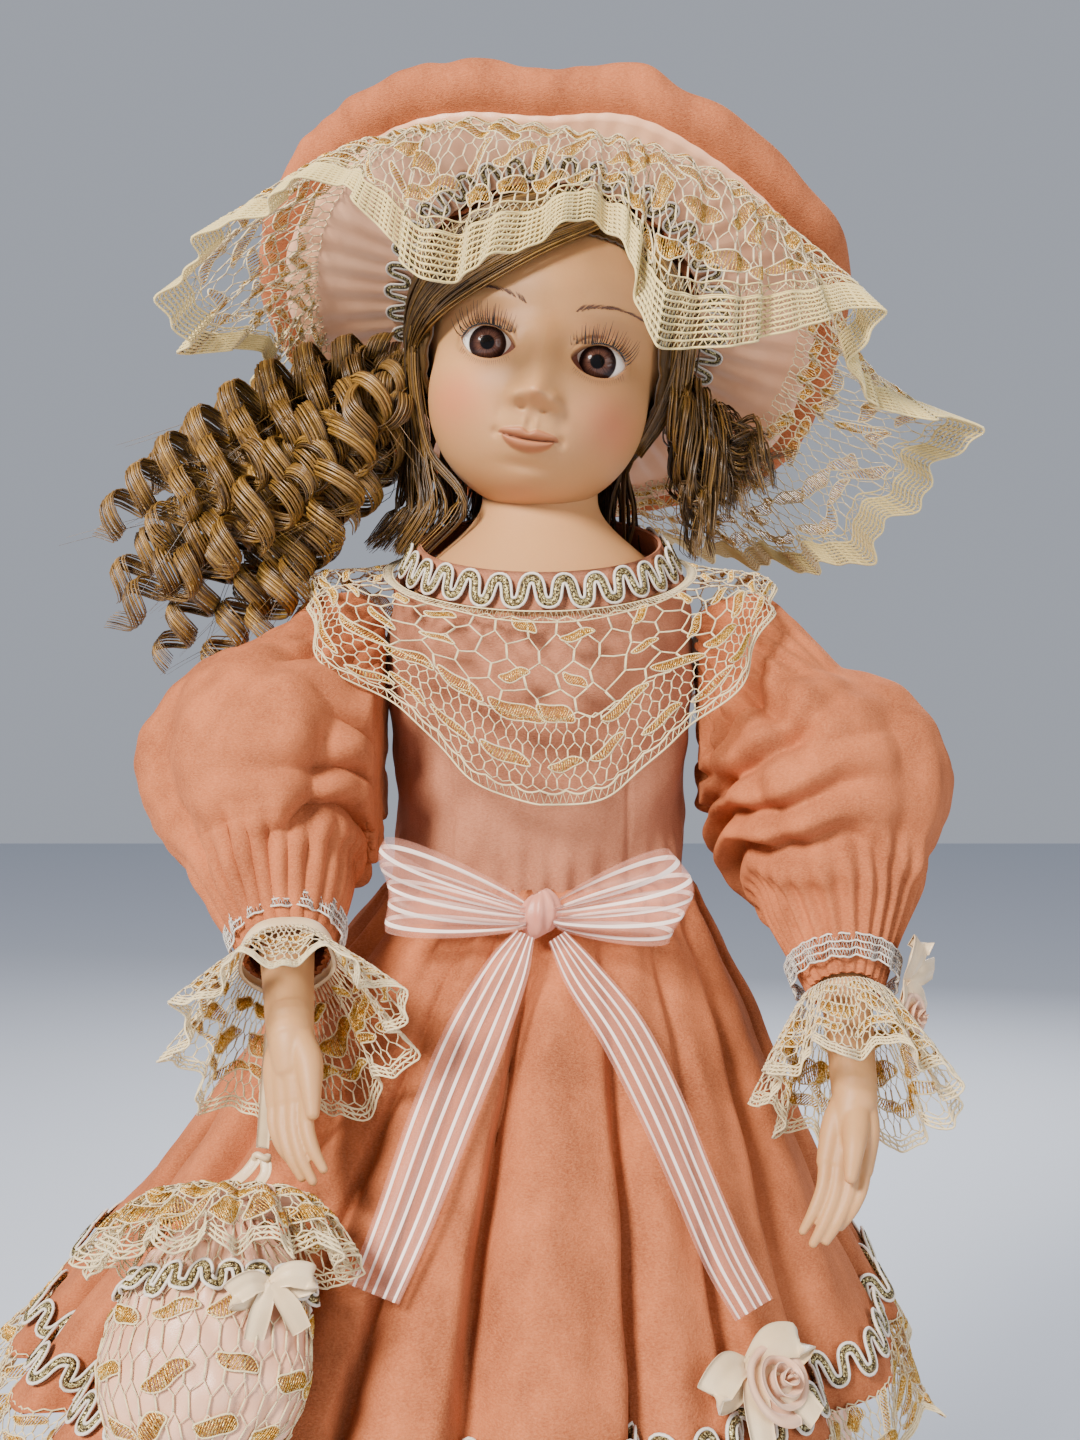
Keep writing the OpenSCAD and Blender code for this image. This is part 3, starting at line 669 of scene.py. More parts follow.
def face_relief(p, front):
    """Moves points of the plain head to the finished face, and gives their masks of paint and
    painted shade.
    """
    x, z = p[:, 0], p[:, 2]
    ax = np.abs(x)
    d = np.zeros(len(p))
    d += 1.6 * bump_at(x, z, 0, -35, 10, 7.5)
    d += 1.2 * bump_at(x, z, 0, -46.5, 6.5, 4.5)
    d -= 0.9 * bump_at(x, z, 0, -40.8, 6, 1.5)
    d += 1.0 * bump_at(ax, z, 17, -27, 9, 8)
    d += 0.8 * bump_at(x, z, 0, 8, 20, 9)
    d -= 2.6 * bump_at(ax, z, EYE[0] - 0.5, EYE[2] + 1, 8.5, 5.8)
    d += 0.9 * bump_at(ax, z, EYE[0], 0, 9, 2.6)
    d -= 1.0 * bump_at(ax, z, 5.6, -11, 3.0, 5)
    d += 1.3 * bump_at(x, z, 0, -16, 4.4, 8)
    d += 4.4 * bump_at(x, z, 0, -24.4, 4.7, 2.6, 7.0)
    d += 2.0 * bump_at(x, z, 0, -24.8, 3.7, 2.4)
    d += 2.3 * bump_at(ax, z, 4.9, -25.8, 2.1, 1.7, 2.3)
    d -= 1.5 * bump_at(ax, z, 2.7, -27.8, 1.2, 0.7)
    d -= 0.6 * bump_at(ax, z, 7.8, -28.8, 1.6, 3)
    d -= 0.5 * bump_at(x, z, 0, -31.2, 0.9, 1.6)
    d += 0.3 * bump_at(ax, z, 1.6, -31.2, 0.7, 1.6)
    d -= 0.8 * bump_at(ax, z, 8.3, mouth_line(7.6), 1.2, 1.2)
    lips, paint, crease = lip_shape(x, z)
    d += lips - 0.8 * crease
    q = p.copy()
    q[:, 1] -= d * front
    lid = np.zeros(len(p))
    thick = 0.75
    for side in (-1, 1):
        ball = EYE * [side, 1, 1]
        across = (x - ball[0]) ** 2 + (z - ball[2]) ** 2
        dome = ball[1] - np.sqrt(np.clip((EYE_R + thick) ** 2 - across, 0, None))
        near = smoothstep((EYE_R + thick) ** 2 * 0.92, (EYE_R + thick) ** 2 * 0.6, across) * front
        q[:, 1] = q[:, 1] * (1 - near) + np.minimum(q[:, 1], dome) * near
        upper, lower, u = lid_edges(x, side)
        fold = np.exp(-(((z - upper - 1.9) / 0.45) ** 2)) * smoothstep(1.15, 0.7, np.abs(u)) * front
        q[:, 1] += 0.55 * fold
        inside = np.minimum(upper - z, z - lower)
        hole = smoothstep(0, 0.55, inside) * (np.abs(u) < 1) * front
        q[:, 1] += 4.2 * hole
        lid = np.maximum(lid, np.maximum(hole, 0.35 * fold))
    blush = 0.95 * bump_at(ax, z, 20, -27, 8.5, 7.5) + 0.22 * bump_at(x, z, 0, -26, 3, 3)
    blush += 0.3 * bump_at(x, z, 0, -47, 6, 3)
    blush += 0.25 * bump_at(ax, z, EYE[0], -4.5, 7, 2.2)
    # crease darkens the groove between the lips, the lid folds and the eye openings: partly the
    # doll's own painted lip and lid lines, partly painted shade in these grooves
    return q, {"blush": blush * front, "lips": paint * front * 0.85,
               "crease": np.clip(np.maximum(crease * 0.8, lid), 0, 1) * front}


def skull_ray(direction):
    """Distance from the middle of the head to its plain outside, along each direction."""
    reach = []
    for centre, r in ((np.zeros(3), SKULL_R), (JAW, JAW_R)):
        o = HEAD_MIDDLE - centre
        b = direction @ o
        reach.append(-b + np.sqrt(np.maximum(b * b - o @ o + r * r, 0)))
    a, b = reach
    blend = 3.0
    return np.maximum(a, b) + blend * 0.25 * np.clip(1 - np.abs(a - b) / blend, 0, 1) ** 2


def face_point(x, z):
    """The painted face's surface at (x, z) in the head's own frame, for strokes laid on it."""
    y = np.full(np.shape(x), -30.0)
    for _ in range(12):
        d = np.stack([x, y, z], axis=-1) - HEAD_MIDDLE
        length = np.linalg.norm(d, axis=-1, keepdims=True)
        t = skull_ray(d / length)
        y = y + ((HEAD_MIDDLE + d / length * t[..., None])[..., 1] - y) * 0.8
    p = np.stack([x, y, z], axis=-1)
    shape = p.shape
    q, _ = face_relief(p.reshape(-1, 3), np.ones(p.size // 3))
    return q.reshape(shape)


def build_head():
    cols, rows = 330, 280
    s = np.linspace(-1, 1, cols, endpoint=False)
    lon = math.pi * (0.36 * s + 0.64 * s**3)
    w = np.linspace(-1, 1, rows)
    lat = math.radians(-12) + math.radians(78) * (0.62 * w + 0.38 * w**3)
    pole = math.pi / 2 - 0.02
    lat = np.clip(lat, -pole, pole)
    lat[0], lat[-1] = -pole, pole
    lon, lat = np.meshgrid(lon, lat)
    d = np.stack([np.cos(lat) * np.sin(lon), -np.cos(lat) * np.cos(lon), np.sin(lat)],
                 axis=-1).reshape(-1, 3)
    front = smoothstep(0.12, 0.5, -d[:, 1])
    p, masks = face_relief(HEAD_MIDDLE + d * skull_ray(d)[:, None], front)
    faces = [grid_faces(rows, cols, True), np.arange(cols)[None, ::-1],
             (rows - 1) * cols + np.arange(cols)[None]]
    uv = np.stack([lon.ravel() / TURN + 0.5, lat.ravel() / math.pi + 0.5], axis=-1)
    skin = in_head(p)

    # neck and breastplate: rings from inside the jaw down to the edge under the dress
    stations = 34
    around = 120
    a = np.arange(around) * TURN / around
    k = np.linspace(0, 1, stations)[:, None]
    neck_r = 15.6 + 18.0 * smoothstep(0.42, 1.0, k) ** 1.25
    ease = smoothstep(0.25, 0.95, k)
    level = ring(a, neck_r, 0.0)
    neck = level * (1 - ease[..., None]) + (level @ turn_x(NECKLINE_TILT).T) * ease[..., None]
    centre = np.broadcast_arrays(0 * a, 1.5 - 5.5 * ease, 428 - 41 * k + 3.5 * ease * (1 - ease))
    neck = neck + np.stack(centre, axis=-1)
    neck[..., 2] += 1.0 * ease * np.cos(2 * a)
    neck = neck.reshape(-1, 3)
    neck_faces = [grid_faces(stations, around, True), np.arange(around)[None, ::-1],
                  (stations - 1) * around + np.arange(around)[None]]
    u, v = np.meshgrid(np.arange(around) / around, np.linspace(0, 1, stations))
    neck_uv = np.stack([u, v], axis=-1).reshape(-1, 2)
    points, faces, uv = merge([(skin, faces, uv), (neck, neck_faces, neck_uv)])
    masks = {m: np.concatenate([value, np.zeros(len(neck))]) for m, value in masks.items()}
    masks["blush"][len(skin):] = 0.1
    place(make_mesh("porcelain_head", points, faces, BISQUE, uv, masks), "doll", "head")


def build_eyes():
    rows, cols = 64, 96
    for name, side in SIDES:
        away = np.linspace(0.0, math.pi, rows)[:, None]
        spin = (np.arange(cols) * TURN / cols)[None]
        bulge = 0.35 * smoothstep(0.62, 0.2, away)
        r = EYE_R + bulge
        p = np.stack([r * np.sin(away) * np.cos(spin), -r * np.cos(away) + 0 * spin,
                      r * np.sin(away) * np.sin(spin)], axis=-1)
        gaze = math.radians(-2)
        p = p.reshape(-1, 3) @ turn_x(math.radians(1)).T
        p = p @ np.array([[math.cos(gaze), -math.sin(gaze), 0], [math.sin(gaze), math.cos(gaze), 0],
                          [0, 0, 1]]).T
        iris_angle = math.asin(IRIS_R / EYE_R)
        masks = {
            "gaze": np.broadcast_to(away / iris_angle, (rows, cols)).ravel(),
            "spoke": np.broadcast_to(np.abs(spin / math.pi - 1), (rows, cols)).ravel(),
        }
        points = in_head(p + EYE * [side, 1, 1])
        obj = make_mesh("eye_" + name, points, [grid_faces(rows, cols, True)], EYE_MATERIAL, None,
                        masks)
        place(obj, "doll", "eye_" + name)


def strokes(starts, ends, curve, width, steps=6):
    """Hair-fine strokes from starts to ends, bowed by curve and tapered to a point."""
    t = np.linspace(0, 1, steps)[None, :, None]
    path = starts[:, None] * (1 - t) + ends[:, None] * t + curve[:, None] * (4 * t * (1 - t))
    r = width * (1 - 0.85 * t[..., 0] ** 1.5) * np.ones((len(starts), 1))
    return sweep(path, r, 3)


def build_lashes_and_brows():
    r = np.random.default_rng(5)
    uppers, lowers, hairs = 32, 26, 74
    for name, side in SIDES:
        u = np.linspace(-0.97, 1.02, uppers) + r.normal(0, 0.018, uppers)
        x = side * (EYE[0] + EYE_HALF * np.clip(u, -0.99, 0.99))
        upper, _, _ = lid_edges(x, side)
        ball = EYE * [side, 1, 1]
        inside = (EYE_R + 0.6) ** 2 - (x - ball[0]) ** 2 - (upper - ball[2]) ** 2
        depth = np.sqrt(np.clip(inside, 0, None))
        root = np.stack([x, ball[1] - depth - 0.15, upper + 0.1], axis=-1)
        outward = np.stack([side * (0.15 + 0.75 * u) * 3.0, np.full_like(u, -3.6),
                            3.8 - 0.9 * u**2], axis=-1)
        tip = root + outward * r.uniform(0.85, 1.25, (uppers, 1)) + r.normal(0, 0.25, (uppers, 3))
        bow = np.tile([0.0, -0.9, -1.1], (uppers, 1))
        rim = np.stack([x, root[:, 1], upper + 0.12], axis=-1)[np.argsort(x)]
        parts = [strokes(root, tip, bow, 0.2), sweep(spline(rim[::3], 40)[None], 0.2, 5)]
        parts = [(in_head(p), f, uv) for p, f, uv in parts]
        piece("eyelashes_" + name, parts, LASH, "doll", "eyelashes_" + name)

        x = side * (EYE[0] + np.linspace(-5.6, 6.4, lowers))
        _, lower, u = lid_edges(x, side)
        root = face_point(x, lower - 0.75)
        tip = face_point(x + side * u * 0.9, lower - 2.1 - 0.3 * np.sin(np.arange(lowers) * 2.1))
        below = strokes(root + [0, -0.03, 0], tip + [0, -0.03, 0], np.zeros((lowers, 3)), 0.075, 4)
        t = np.sort(r.uniform(0, 1, hairs))
        x = side * (6.3 + 17.5 * t)
        z = -1.2 + 3.5 * np.sin(math.pi * (0.02 + 0.66 * t))
        z = z + r.uniform(-0.3, 0.3, hairs) * (1 - 0.6 * t)
        root = face_point(x, z)
        tip = face_point(x + side * (1.3 + 1.3 * t), z + (1.9 - 2.1 * t))
        brow = strokes(root + [0, -0.16, 0], tip + [0, -0.14, 0], np.zeros((hairs, 3)), 0.11, 4)
        parts = [(in_head(p), f, uv) for p, f, uv in (below, brow)]
        piece("painted_brow_" + name, parts, BROW_PAINT, "doll", ())


BROW_PAINT = woven("brow_paint", linear(112, 74, 54), linear(88, 56, 40), 0.7)

build_head()
build_eyes()
build_lashes_and_brows()


# ---- lace, braid and ribbon ----

def bars(surface, start, end, radius, lift, steps=3, bow=0.0):
    """Short threads on a surface from start to end, both (count, 2) arrays of u and v."""
    t = np.linspace(0, 1, steps)[None, :, None]
    path = start[:, None] * (1 - t) + end[:, None] * t
    lift = lift + bow * 4 * t[..., 0] * (1 - t[..., 0])
    return sweep(surface.at(path[..., 0], path[..., 1], lift), radius, 3)


def net(surface, columns, rows, low, high, radius, seed, lift=0.0):
    """Hexagonal net between v = low and high: zigzag rows tied by short upright threads."""
    r = np.random.default_rng(seed)
    count = 2 * columns
    i = np.arange(count)
    k = np.arange(rows + 1)
    step = (high - low) / rows
    u = i / count + r.normal(0, 0.07 / columns, (rows + 1, count))
    sign = np.where((i[None] + k[:, None]) % 2, 1, -1)
    v = low + k[:, None] * step + sign * 0.22 * step + r.normal(0, 0.05 * step, (rows + 1, count))
    v = np.clip(v, low, high)
    ahead = np.roll(u, -1, axis=1)
    fine_u = np.stack([u, (u + ahead + (ahead < u) * 1.0) / 2], axis=-1).reshape(rows + 1, -1)
    fine_v = np.stack([v, (v + np.roll(v, -1, axis=1)) / 2], axis=-1).reshape(rows + 1, -1)
    parts = [sweep(surface.at(fine_u, fine_v, lift), radius, 3, True)]
    j, m = np.nonzero(sign[:-1] > 0)
    ends = np.stack([u[j, m], v[j, m]], axis=1), np.stack([u[j + 1, m], v[j + 1, m]], axis=1)
    parts.append(bars(surface, *ends, radius * 1.5, lift, 2))
    return parts


def scatter(bands, seed, aside, drift, long_by, wide_by, spin):
    """Patches strewn in bands of (row, count, half length, half width, lean).

    The rest says how far each one strays from its place, size and lean.
    """
    r = np.random.default_rng(seed)
    strewn = []
    for row, count, long, wide, lean in bands:
        for i in range(count):
            centre = (i + r.uniform(*aside)) / count, row + r.normal(0, drift)
            strewn.append((centre, long * r.uniform(*long_by), wide * r.uniform(*wide_by),
                           lean + r.normal(0, spin)))
    return strewn


def patches(surface, size, strewn, seed, lift, pitch, thread, wave):
    """Lens-shaped patches of close foil threads. size is the sheet's (width, height) in mm."""
    r = np.random.default_rng(seed)
    starts, ends, rims = [], [], []
    for centre, a, b, angle in strewn:
        along = np.array([math.cos(angle), math.sin(angle)])
        across = np.array([-along[1], along[0]])
        s = np.arange(-a + pitch, a, pitch)
        half = b * (1 - (s / a) ** 2) ** 0.65 + r.uniform(-0.1, 0.1, len(s))
        middle = s[:, None] * along + (wave * b * np.sin(s / a * math.pi))[:, None] * across
        slant = 0.35 * pitch * along
        starts.append((middle - half[:, None] * across - slant) / size + centre)
        ends.append((middle + half[:, None] * across + slant) / size + centre)
        t = np.linspace(0, TURN, 28, endpoint=False)
        bend = wave * b * np.sin(np.cos(t) * math.pi)
        rim = (a * np.cos(t))[:, None] * along
        rim += (np.sign(np.sin(t)) * b * np.abs(np.sin(t)) ** 1.2 * 1.04 + bend)[:, None] * across
        rims.append(rim / size + centre)
    start, end, rims = np.concatenate(starts), np.concatenate(ends), np.array(rims)
    gold = bars(surface, start, end, thread, lift, 3, 0.12)
    outline = sweep(surface.at(rims[..., 0], rims[..., 1], lift), 0.24, 3, True)
    return gold, outline


def edging(surface, low, high, steps, radius, lift=0.0, cords=2, scallop=0.0, scallops=0):
    """A ladder edge between v = low and high: cords along it, and zigzag rungs between them."""
    u = np.arange(steps) / steps
    dip = scallop * np.abs(np.sin(math.pi * u * scallops)) if scallops else 0 * u
    lines = low + (high - low) * np.arange(cords)[:, None] / (cords - 1) + dip[None]
    path = surface.at(np.broadcast_to(u, lines.shape), lines, lift)
    parts = [sweep(path, radius, 4, True)]
    odd = (np.arange(steps) % 2)[None]
    for k in range(cords - 1):
        zig = lines[k : k + 1] * (1 - odd) + lines[k + 1 : k + 2] * odd
        parts.append(sweep(surface.at(u[None], zig, lift), radius * 0.8, 3, True))
    return parts


def lace_piece(name, body, node, threads, gold):
    """Lace as two pieces: its cream threads, which stand for the CAD node, and its foil patches."""
    points, faces, uv = merge(threads)
    net_piece = place(make_mesh(name, points, faces, LACE_THREAD, uv), body, node)
    points, faces, uv = gold
    return net_piece, place(make_mesh(name + "_gold", points, faces, GOLD, uv), body, ())


def onward(path):
    """The way on at each point of a closed path."""
    return np.roll(path, -1, axis=0) - np.roll(path, 1, axis=0)


def gimp(path, side, up, loops, width, cord=0.45, foil=0.62):
    """Looped gimp: a dark foil cord meanders round a closed path, with a pale cord on each side."""
    t = np.arange(LOOP_STEPS * loops) / LOOP_STEPS
    n = len(path)
    gaps = np.diff(np.vstack([path, path[:1]]), axis=0)
    run = np.concatenate([[0], np.cumsum(np.linalg.norm(gaps, axis=1))])
    where = np.mod((t - 0.045 * np.sin(2 * TURN * t)) / loops, 1.0)
    where = np.interp(where * run[-1], run, np.arange(len(run)))
    i = where.astype(int) % n
    f = (where - np.floor(where))[:, None]

    def along(table):
        return table[i] * (1 - f) + table[(i + 1) % n] * f

    apart = 1.15 * foil + 0.3 * cord
    above = along(up)
    swing = np.sin(TURN * t)
    swing = swing * (1.22 - 0.22 * swing**2)
    swing = swing * (width / 2 - apart - 0.75 * cord)
    middle = along(path) + along(side) * swing[:, None] + above * cord
    beside = unit(np.cross(above, onward(middle)))
    pale = [sweep((middle + beside * way * apart + above * 0.25)[None], cord * 0.75, 5, True)
            for way in (-1, 1)]
    return pale, [sweep(middle[None], foil, 5, True)]


def gimp_piece(name, body, node, *path_and_sizes, **more):
    """Gimp as a pair of pieces: its pale cords, which stand for the CAD node, and its foil cord."""
    pale, dark = gimp(*path_and_sizes, **more)
    cords = piece(name, pale, CORD, body, node)
    return cords, piece(name + "_foil", dark, DARK_GOLD, body, ())


# ---- hat ----

def front_dip(angle, width):
    return np.exp(-((front_angle(angle) / width) ** 2))


def brim_reach(angle):
    """Outer radius of the soft brim: short over the face, full at the sides and a little uneven."""
    uneven = 1.6 * np.sin(3 * angle + 0.6)
    return BRIM_R + 2.5 - 18 * front_dip(angle, 0.9) + uneven + 1.0 * np.sin(7 * angle)


def brim_lift(angle, t):
    """How far the brim waves up or down at t, 0 at its inner edge and 1 at its rim."""
    wave = 2.6 * np.sin(2 * angle + 2.2) + 1.8 * np.sin(5 * angle + 0.5) + 0.8 * np.sin(11 * angle)
    return wave * t**1.4


def build_hat():
    inner = HAT_OPENING_R
    cols = 420
    angle = ring_angles(cols)[None]

    # brim: a padded roll, gone round its section from the inner edge underneath to the one on top
    rows = 72
    t = np.linspace(0, 1, rows)[:, None]
    under = t < 0.42
    reach = brim_reach(angle)
    out = np.where(under, t / 0.42, np.clip(1 - (t - 0.58) / 0.42, 0, 1))
    round_edge = np.clip((t - 0.42) / 0.16, 0, 1)
    r = inner + (reach - 6.5 - inner) * np.clip(out, 0, 1) + 6.5 * np.sin(math.pi * round_edge)
    r = r - np.where(under, 0, (4.6 + 0.5 * np.cos(26 * angle)) * smoothstep(0.2, 0.0, out))
    roll = 6.2
    level = 0.35 + 0.65 * smoothstep(0.1, 0.9, out)
    z = BRIM_Z + roll - roll * np.cos(math.pi * round_edge) * level
    z = z - 1.5 + brim_lift(angle, np.maximum(r - inner, 0) / (reach - inner))
    puff = 1.1 * np.sin(math.pi * np.clip(out, 0, 1))
    z = z + np.where(under, -puff * 0.2, puff)
    grid = ring(angle, r, z)
    crease = 1.0 * wobble(grid * [1, 1, 0.4], 30, 3) + 0.4 * wobble(grid, 11, 4)
    stitch = 0.5 * np.cos(angle * 64) * smoothstep(0.25, 0.0, out)
    n = grid_normals(grid, True)
    grid = grid + n * (crease * smoothstep(0.40, 0.52, t) * smoothstep(0.06, 0.3, out)
                       + stitch)[..., None]
    points, faces = in_hat(grid.reshape(-1, 3)), [grid_faces(rows, cols, True)]
    seam = np.stack([np.arange(cols), np.roll(np.arange(cols), -1)], axis=1)
    faces.append(np.concatenate([seam, seam[:, ::-1] + (rows - 1) * cols], axis=1)[:, ::-1])
    brim_piece = place(make_mesh("hat_brim_velvet", points, faces, VELVET), "hat", "hat_brim")

    # crown, gathered into the brim
    rows = 70
    lat = np.linspace(0.004, 1, rows)[:, None]
    polar = lat * math.radians(72)
    r0 = SKULL_R + 7.3
    fold = 0.9 * np.cos(angle * 26 + 1.3 * np.sin(3 * angle)) * smoothstep(0.45, 1.0, lat)
    slouch = 2.2 * np.sin(2 * angle + 1) * smoothstep(0.3, 0.8, lat) * 0.6
    r = r0 + fold + slouch * 0.5 - 0.6 * smoothstep(0.8, 1, lat)
    grid = ring(angle, r * np.sin(polar), r * np.cos(polar) + 0 * angle)
    grid = grid + grid_normals(grid, True) * (0.7 * wobble(grid, 15, 9))[..., None]
    crown = piece("hat_crown_velvet", [cloth_parts(mapped(in_hat, grid), 1.0, True)], VELVET, "hat",
                  "hat_crown")
    SHEETS.append((crown, grid, "gathered", ["wig_front"], []))

    # satin under the brim, tucked at its outer edge
    rows = 30
    t = np.linspace(1, 0, rows)[:, None]
    out = reach - 8.5
    r = inner + 0.3 + (out - inner) * t
    z = BRIM_Z - 2.8 + brim_lift(angle, (r - inner) / (reach - inner)) - 0.5 * np.sin(math.pi * t)
    z = z - 0.35 * np.cos(angle * 58 + 3 * np.sin(2 * angle)) * (1 - 0.6 * t)
    z = z + 2.2 * smoothstep(0.93, 1.0, t)
    grid = ring(angle, r, z)
    lining = cloth("hat_satin_lining", mapped(in_hat, grid), SATIN, 0.5, "hat", "hat_lining")

    # gimp round the opening, next to the hair
    around = ring_angles(400)
    mid = inner + 4.8
    t = (mid - inner) / (brim_reach(around) - inner)
    path = ring(around, mid, BRIM_Z - 3.2 + brim_lift(around, t))
    side = ring(around, 1.0, 0 * around)
    path, side = in_hat(path), side @ HAT.T
    up = np.broadcast_to(np.array([0.0, 0, -1]) @ HAT.T, path.shape)
    trims = gimp_piece("hat_gimp", "hat", "hat_braid", path, side, up, 40, 8.0)
    SHEETS.append((lining, grid, "gathered", ["hat_brim"], list(trims)))
    return brim_piece


HAT_LACE = (
    # x, y, z of the edge and the angle round the hat of the seam above it
    (-90, -30, 444, -84), (-86, -44, 462, -66), (-52, -52, 479, -48), (-38, -60, 466, -38),
    (-25, -66, 451, -27), (-5, -68, 458, -9), (15, -64, 465, 6), (24, -72, 440, 17),
    (27, -73, 434, 24), (50, -64, 438, 38), (79, -46, 450, 53), (78, -38, 432, 66),
    (92, -28, 428, 78), (112, -17, 427, 92), (100, -4, 410, 104), (85, 8, 394, 120),
    (62, 44, 398, 138), (40, 75, 407, 156), (18, 76, 420, 170), (0, 85, 415, 184),
    (-24, 74, 428, 200), (-48, 72, 426, 216), (-62, 50, 442, 234), (-80, 36, 438, 250),
    (-78, 6, 452, 265),
)


def build_hat_lace():
    table = np.array(HAT_LACE, float)
    angle = np.radians(table[:, 3])
    keys = np.column_stack([table[:, :3], 70 * np.sin(angle), 70 * np.cos(angle)])
    cols, rows = 620, 26
    line = spline(keys, cols, closed=True)[::-1]
    edge = line[:, :3]
    angle = np.arctan2(line[:, 3], line[:, 4])
    around = np.arange(cols) * TURN / cols
    ripple = 2.6 * np.sin(around * 31) + 1.2 * np.sin(around * 74 + 1)
    edge = edge + unit(edge - SKULL) * ripple[:, None]
    seam_r = 66 - 14 * front_dip(angle, 0.75)
    t = (seam_r - HAT_OPENING_R) / (brim_reach(angle) - HAT_OPENING_R)
    seam = in_hat(ring(angle, seam_r, BRIM_Z - 2.6 + brim_lift(angle, t)))
    out = unit(ring(angle, 1.0, 0 * angle) @ HAT.T)
    down = np.array([0.0, 0, -1]) @ HAT.T
    reach = np.linalg.norm(edge - seam, axis=1, keepdims=True)
    bend = seam + (out * 0.45 + down * 0.3) * reach * 0.55 + [0, -2.0, 0]
    v = np.linspace(0, 1, rows)[:, None, None]
    grid = fall(seam, bend, edge, v)
    gather = 1.1 * np.cos(around * 62)[None, :, None] * np.sin(math.pi * v) ** 0.6 * 0.9
    grid = grid + grid_normals(grid, True) * gather
    surface = Surface(grid)
    across = np.linalg.norm(np.roll(grid[rows // 2], -1, axis=0) - grid[rows // 2], axis=1).sum()
    size = np.array([across, float(np.mean(reach))])
    threads = net(surface, 200, 9, 0.02, 0.86, 0.17, 31)
    bands = ((0.20, 56, 6.0, 1.7, 0.1), (0.38, 52, 6.8, 1.9, -0.25), (0.58, 56, 6.0, 1.8, 0.3),
             (0.77, 66, 5.2, 1.35, 0.0))
    strewn = scatter(bands, 8, (0.2, 0.8), 0.02, (0.7, 1.15), (0.75, 1.2), 0.3)
    gold, outline = patches(surface, size, strewn, 9, 0.15, pitch=0.62, thread=0.19, wave=0.3)
    threads.append(outline)
    pieces = lace_piece("hat_lace_net", "hat", "hat_lace", threads, gold)
    heavy = edging(surface, 0.875, 1.0, 900, 0.36, 0.0, 8)
    heavy += edging(surface, 0.83, 0.87, 620, 0.22, 0.2, 2)
    return pieces + (piece("hat_lace_edge", heavy, EDGE_THREAD, "hat", ()),)


# ---- wig ----

def on_scalp(azimuth, height, out):
    """A point out from the skull, by azimuth (+ to the doll's left) and height in degrees."""
    a, h = np.radians(azimuth), np.radians(height)
    r = SKULL_R + out
    return ring(a, r * np.cos(h), r * np.sin(h))


def lock(path, count, wide, deep, seed, points, radius):
    """A lock of strands along a path, which lie side by side across it and taper to the tip."""
    r = np.random.default_rng(seed)
    line = spline(path, points)
    t = np.linspace(0, 1, points)[None, :, None]
    forward = unit(np.gradient(line, axis=0))
    away = unit(line - SKULL)
    across = unit(np.cross(forward, away))
    each = (count, 1, 1)
    a = r.uniform(-1, 1, each)
    b = r.normal(0, 0.5, each)
    width = wide * (0.75 + 0.25 * np.sin(math.pi * t))
    sway = r.normal(0, 0.05, each)
    sway = sway * np.sin(TURN * t * r.uniform(0.6, 1.4, each) + r.uniform(0, TURN, each))
    paths = line[None] + across[None] * width * (a + sway)
    paths = paths + away[None] * deep * (b * (1 - 0.3 * t) - 0.5 * a**2)
    taper = 1 - 0.75 * np.linspace(0, 1, points)[None] ** 6
    size = radius * r.uniform(0.7, 1.2, (count, 1)) * taper
    p, f, uv = sweep(paths, size, 3)
    tone = np.repeat(np.clip(0.5 + r.normal(0, 0.2, count), 0, 1), points * 3)
    shade = np.tile(np.repeat(np.linspace(0, 1, points), 3), count)
    return p, f, uv, np.clip(tone + 0.12 * np.sin(TURN * shade), 0, 1)


def hair_piece(name, locks, nodes=(), bend=None):
    """Locks of (points, faces, uv, tone) as one piece of the wig."""
    masks = {"tone": np.concatenate([tone for _, _, _, tone in locks])}
    obj = make_mesh(name, *merge([part[:3] for part in locks])[:2], HAIR, None, masks)
    place(obj, "doll", nodes, bend)


